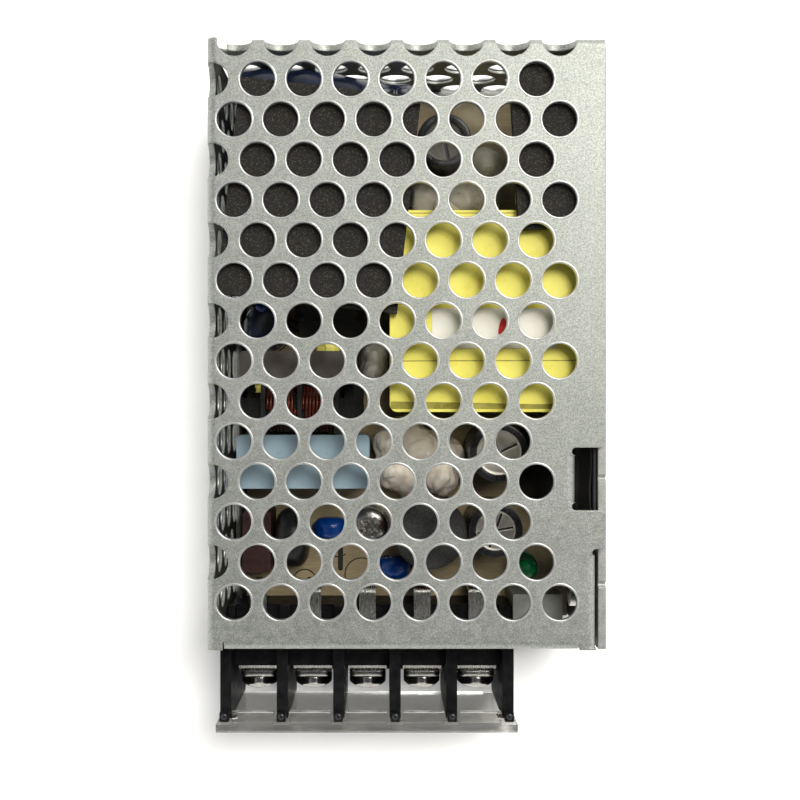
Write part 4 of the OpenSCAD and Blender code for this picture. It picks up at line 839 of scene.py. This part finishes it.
def leaning_varistor():
    """Dark blue disc that leans over the board's left screw, on two bent leads."""
    rings = []
    for k in range(1, 26):
        a = math.pi * k / 26
        rings.append(circle(3.3 * MM * math.sin(a) ** 0.5, 1.5 * MM * math.cos(a), 64))
    centre = Vector((-19.4, 3.4, 14.2)) * MM
    parts = [moved(from_rings(rings), pointing((0.62, -0.25, 0.74), centre))]
    for off in (-1.2, 1.2):
        line = [Vector((-18.6 + 2.0 * t, 3.6 + off * 0.5, 14.2 - 2.2 * t)) * MM
                for t in (0, 0.5, 1)]
        line.append(Vector((-15.9, 3.6 + off * 0.5, 10.5)) * MM)
        line.append(Vector((-15.8, 3.6 + off * 0.5, BOARD_TOP / MM - 0.4)) * MM)
        parts.append(sweep(line, 0.3 * MM, 10))
    add_piece("varistor_disc", joined(parts), "navy_sleeve")


def capacitor_sleeve():
    """Heat-shrink sleeve of the lying capacitor, loose towards the rear wall."""
    low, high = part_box("bulk_capacitor")
    centre = (low + high) / 2
    r = (high.y - low.y) / 2
    rings = []
    for k in range(33):
        share = k / 32
        x = low.x + 0.4 * MM + (high.x - low.x - 0.8 * MM) * share
        loose = (3.0 - 2.3 * smooth_step(share, 0.3, 1.0)) * MM
        ring = []
        for n in range(96):
            a = 2 * math.pi * n / 96
            off = (a - math.radians(31) + math.pi) % (2 * math.pi) - math.pi
            bulge = loose * math.exp(-(off / 0.42) ** 2)
            ripple = 0.06 * MM * math.sin(5 * a + 9 * share) * math.sin(17 * share)
            reach = r + 0.1 * MM + bulge + ripple
            ring.append(Vector((x, centre.y + reach * math.cos(a),
                                centre.z + reach * math.sin(a))))
        rings.append(ring)
    for near, x in ((0, low.x), (-1, high.x)):
        inner = [Vector((x, centre.y + (p.y - centre.y) * 0.93,
                         centre.z + (p.z - centre.z) * 0.93)) for p in rings[near]]
        if near == 0:
            rings.insert(0, inner)
        else:
            rings.append(inner)
    add_piece("capacitor_sleeve", from_rings(rings), "navy_sleeve")


def sheet_piece(name, outline, base_z, thick, slot, material=None, soft=0.02 * MM):
    """Thin flat piece over an outline, its upper rim eased."""
    points = [Vector((x * MM, y * MM, 0)) for x, y in outline]
    middle = sum(points, Vector()) / len(points)
    rings = []
    for z, inset in ((0, 0), (thick * 0.6, 0), (thick, soft)):
        ring = []
        for p in points:
            way = p - middle
            ring.append(p - way.normalized() * inset + Vector((0, 0, base_z + z)))
        rings.append(ring)
    add_piece(name, from_rings(rings), slot, material=material, flat=True)


def arc(cx, cy, r, start, end, wide, z):
    """Printed arc: a thin raised band, all in millimetres but its height."""
    thick = 0.02 * MM
    steps = max(6, int(abs(end - start) / 6))
    bm = bmesh.new()
    rows = []
    for k in range(steps + 1):
        a = math.radians(start + (end - start) * k / steps)
        row = []
        for reach, lift in ((r - wide / 2, 0), (r - wide / 2, thick), (r + wide / 2, thick),
                            (r + wide / 2, 0)):
            row.append(bm.verts.new(((cx + reach * math.cos(a)) * MM,
                                     (cy + reach * math.sin(a)) * MM, z + lift)))
        rows.append(row)
    for a, b in zip(rows, rows[1:]):
        for n in range(4):
            m = (n + 1) % 4
            bm.faces.new((a[n], a[m], b[m], b[n]))
    bm.faces.new(rows[0])
    bm.faces.new(reversed(rows[-1]))
    bmesh.ops.recalc_face_normals(bm, faces=bm.faces)
    return bm


def film_fold(name, line, y0, y1, slot="black_film"):
    """Folded film: a line of (x, z) in millimetres carried along Y, wavy and 0.2 mm thick."""
    steps, thick = 24, 0.2
    rings = []
    for k in range(steps + 1):
        share = k / steps
        y = y0 + (y1 - y0) * share
        wave = 0.12 * math.sin(3.1 * share + y0) * math.sin(7 * share)
        front = [Vector((x + wave, y, z)) * MM for x, z in line]
        back = [Vector((x + wave + thick, y, z + thick / 4)) * MM for x, z in reversed(line)]
        rings.append(front + back)
    add_piece(name, from_rings(rings), slot, flat=True)


def films():
    """Black film folded up at the side cut-out, the rectifier and the line choke."""
    film_fold("side_film_fold", [(23.8, 25.2), (23.0, 21.5), (20.8, 17.0), (18.4, 12.0),
                                 (16.95, 7.0), (16.9, 6.15)], -21.6, -11.2)
    film_fold("rectifier_film", [(-15.4, 12.6), (-14.0, 13.6), (-7.0, 13.8), (-5.9, 12.9)],
              3.9, 6.1)
    film_fold("choke_film", [(-8.8, 9.0), (-7.4, 9.4), (-6.0, 9.0)], -6.9, -4.6)


def board_print():
    """Plain rings, arcs and a short bar printed on the board."""
    ink = plain("board_ink", (0.012, 0.011, 0.01), (0.035, 0.032, 0.028), patch=900, grain=4000,
                rough=(0.5, 0.7))
    parts = []
    for lo, hi in loose_parts("board_screw_washers"):
        x, y = (lo.x + hi.x) / 2 / MM, (lo.y + hi.y) / 2 / MM
        parts.append(arc(x, y, (hi.x - lo.x) / 2 / MM + 0.25, 0, 360, 0.16, BOARD_TOP))
    for cx, cy, r, start, end in ((-6.2, -32.6, 2.4, 60, 200), (-9.8, -27.4, 2.6, 200, 300),
                                  (-14.5, -33.6, 1.7, 20, 170), (-4.2, -28.4, 1.2, 150, 330),
                                  (11.8, 33.6, 2.6, 150, 300), (-1.2, -34.6, 2.2, 20, 140)):
        parts.append(arc(cx, cy, r, start, end, 0.18, BOARD_TOP))
    add_piece("board_rings", joined(parts), "board_laminate", material=ink, flat=True)
    bar = [(-9.27 + 0.37 * math.cos(a), -30.3 + math.copysign(1.4, math.sin(a)) + 0.37 *
            math.sin(a)) for a in (2 * math.pi * (k + 0.5) / 32 for k in range(32))]
    sheet_piece("board_bar", bar, BOARD_TOP, 0.03 * MM, "board_laminate", ink)


def tape_and_label():
    """Lap and seams of the transformer's tape, a band of painted shade on its rounded front edge,
    and a red stroke on its blank label.
    """
    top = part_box("transformer_tape")[1].z
    x0, x1 = -2.05, 22.55
    sheet_piece("tape_lap", [(x0, -2.1), (x0, -7.35), (x0 + 8, -7.45), (x1 - 6, -7.7),
                             (x1, -7.6), (x1, -2.0)], top, 0.07 * MM, "yellow_tape")
    # Dark olive glue colour for the seams; the same colour on the front band is painted shade.
    glue_and_painted_shade = plain("tape_glue_and_painted_shade", (0.2, 0.18, 0.03), (0.33, 0.29, 0.06), patch=700, grain=2500,
                 rough=(0.25, 0.4))
    sheet_piece("tape_seam", [(x0, -2.12), (x1, -2.05), (x1, -1.93), (x0, -2.0)], top, 0.08 * MM,
                "yellow_tape", glue_and_painted_shade, 0)
    # Painted shade: a thin dark band standing in for the shade on the tape's rounded front edge.
    sheet_piece("tape_front_painted_shade", [(x0, -8.3), (x1, -8.3), (x1, -7.6), (x1 - 6, -7.7),
                              (x0 + 8, -7.45), (x0, -7.35)], top, 0.03 * MM, "yellow_tape", glue_and_painted_shade)
    sheet_piece("tape_rear_seam", [(x0, 17.16), (x1, 17.2), (x1, 17.3), (x0, 17.26)], top,
                0.05 * MM, "yellow_tape", glue_and_painted_shade, 0)
    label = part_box("transformer_label")[1].z
    red = plain("red_ink", (0.42, 0.012, 0.015), (0.62, 0.03, 0.03), patch=1500, grain=4000,
                rough=(0.35, 0.5))
    rng = random.Random(5)
    stroke = []
    for k in range(40):
        a = 2 * math.pi * k / 40
        r = 0.72 + 0.08 * math.sin(3 * a + 1) + rng.uniform(-0.03, 0.03)
        x, y = r * 0.62 * math.cos(a), r * 1.5 * math.sin(a)
        stroke.append((12.5 + x * 0.95 + y * 0.3, 2.5 + y * 0.95 - x * 0.3))
    sheet_piece("red_mark", stroke, label, 0.03 * MM, "label_paper", red)


def dome(centre, radius, height, sink=0.05):
    """Low dome on a flat place, given in millimetres."""
    sides = 32
    rings = []
    for k in range(1, 10):
        a = math.pi / 2 * k / 9
        rings.append(circle(radius * math.sin(a) * MM, height * math.cos(a) * MM, sides))
    rings.append(circle(radius * MM, -sink * MM, sides))
    return moved(from_rings(rings), Matrix.Translation(Vector(centre) * MM))


def small_details():
    """Pips on the terminal posts, gate marks on a capacitor, tape ends, a small ceramic."""
    gloss = plain("post_gloss", (0.01, 0.01, 0.011), (0.02, 0.02, 0.021), patch=900, grain=4000,
                  rough=(0.1, 0.16), bump=0.1, depth=0.01, coat=0.6)
    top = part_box("terminal_block")[1].z / MM
    posts = [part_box(f"terminal_washer_{i}") for i in range(1, 6)]
    middles = [(low.x + high.x) / 2 / MM for low, high in posts]
    pitch = middles[1] - middles[0]
    parts = []
    for x in [middles[0] - pitch / 2] + [m + pitch / 2 for m in middles]:
        parts.append(dome((x, -49.4, top), 0.42, 0.16))
    add_piece("post_pips", joined(parts), "block_plastic", material=gloss)
    cap_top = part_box("x_capacitor")[1].z / MM
    marks = []
    for x in (-17.0, -10.4):
        place = Matrix.Translation(Vector((x, -13.9, cap_top)) * MM)
        marks.append(moved(dome((0, 0, 0), 0.5, 0.06), place @ Matrix.Diagonal((0.28, 1, 1, 1))))
    add_piece("gate_marks", joined(marks), "cap_box_blue")
    film_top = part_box("film_capacitor")[1]
    film_fold("tape_end", [(-12.2, 17.2), (-11.0, 17.6), (-9.9, 17.4), (-9.2, 16.6)],
              film_top.y / MM - 0.05, film_top.y / MM + 1.5, "yellow_tape")
    film_fold("tape_scrap", [(-20.6, 16.2), (-19.8, 16.6), (-18.9, 16.5)], -6.1, -4.6,
              "yellow_tape")
    board_top = BOARD_TOP / MM
    parts = [dome((-19.75, 5.55, 16.1), 0.85, 0.75, sink=0.6)]
    for x in (-20.15, -19.35):
        parts.append(sweep([Vector((x, 5.6, 16.0 + (board_top - 16.4) * k / 6)) * MM
                            for k in range(7)], 0.22 * MM, 10))
    add_piece("small_ceramic", joined(parts), "blue_coat")


def finish_cad_nodes():
    """Gives each CAD node its finish; the line choke's core is darker than other ferrite."""
    for part in frame["record"]["subparts"]:
        obj = NODES[part["node"]]
        obj.data.materials.clear()
        obj.data.materials.append(MATS[part["material_slot"]])
    dark_ferrite = foam("choke_ferrite", (0.006, 0.006, 0.006), (0.016, 0.016, 0.016),
                        (0.03, 0.03, 0.029))
    NODES["choke_core"].data.materials[0] = dark_ferrite


make_camera()
make_world()
make_stage()
area_light("key", (0.26, 0.30, 0.58), 0.42, 3.05, (1.0, 0.985, 0.93))
area_light("fill", (-0.25, -0.10, 0.30), 0.25, 0.04)
area_light("overhead", (0.09, 0.15, 0.60), 0.20, 3.0, (1.0, 0.985, 0.94), in_metal=False)
scene.view_settings.view_transform = "Standard"
finish_cad_nodes()
hole_lips()
corner_strip()
terminal_hardware()
board_screw_details()
choke_coils()
drum_coil()
dipped_parts()
can_tops()
silicone()
leaning_varistor()
capacitor_sleeve()
films()
board_print()
tape_and_label()
small_details()
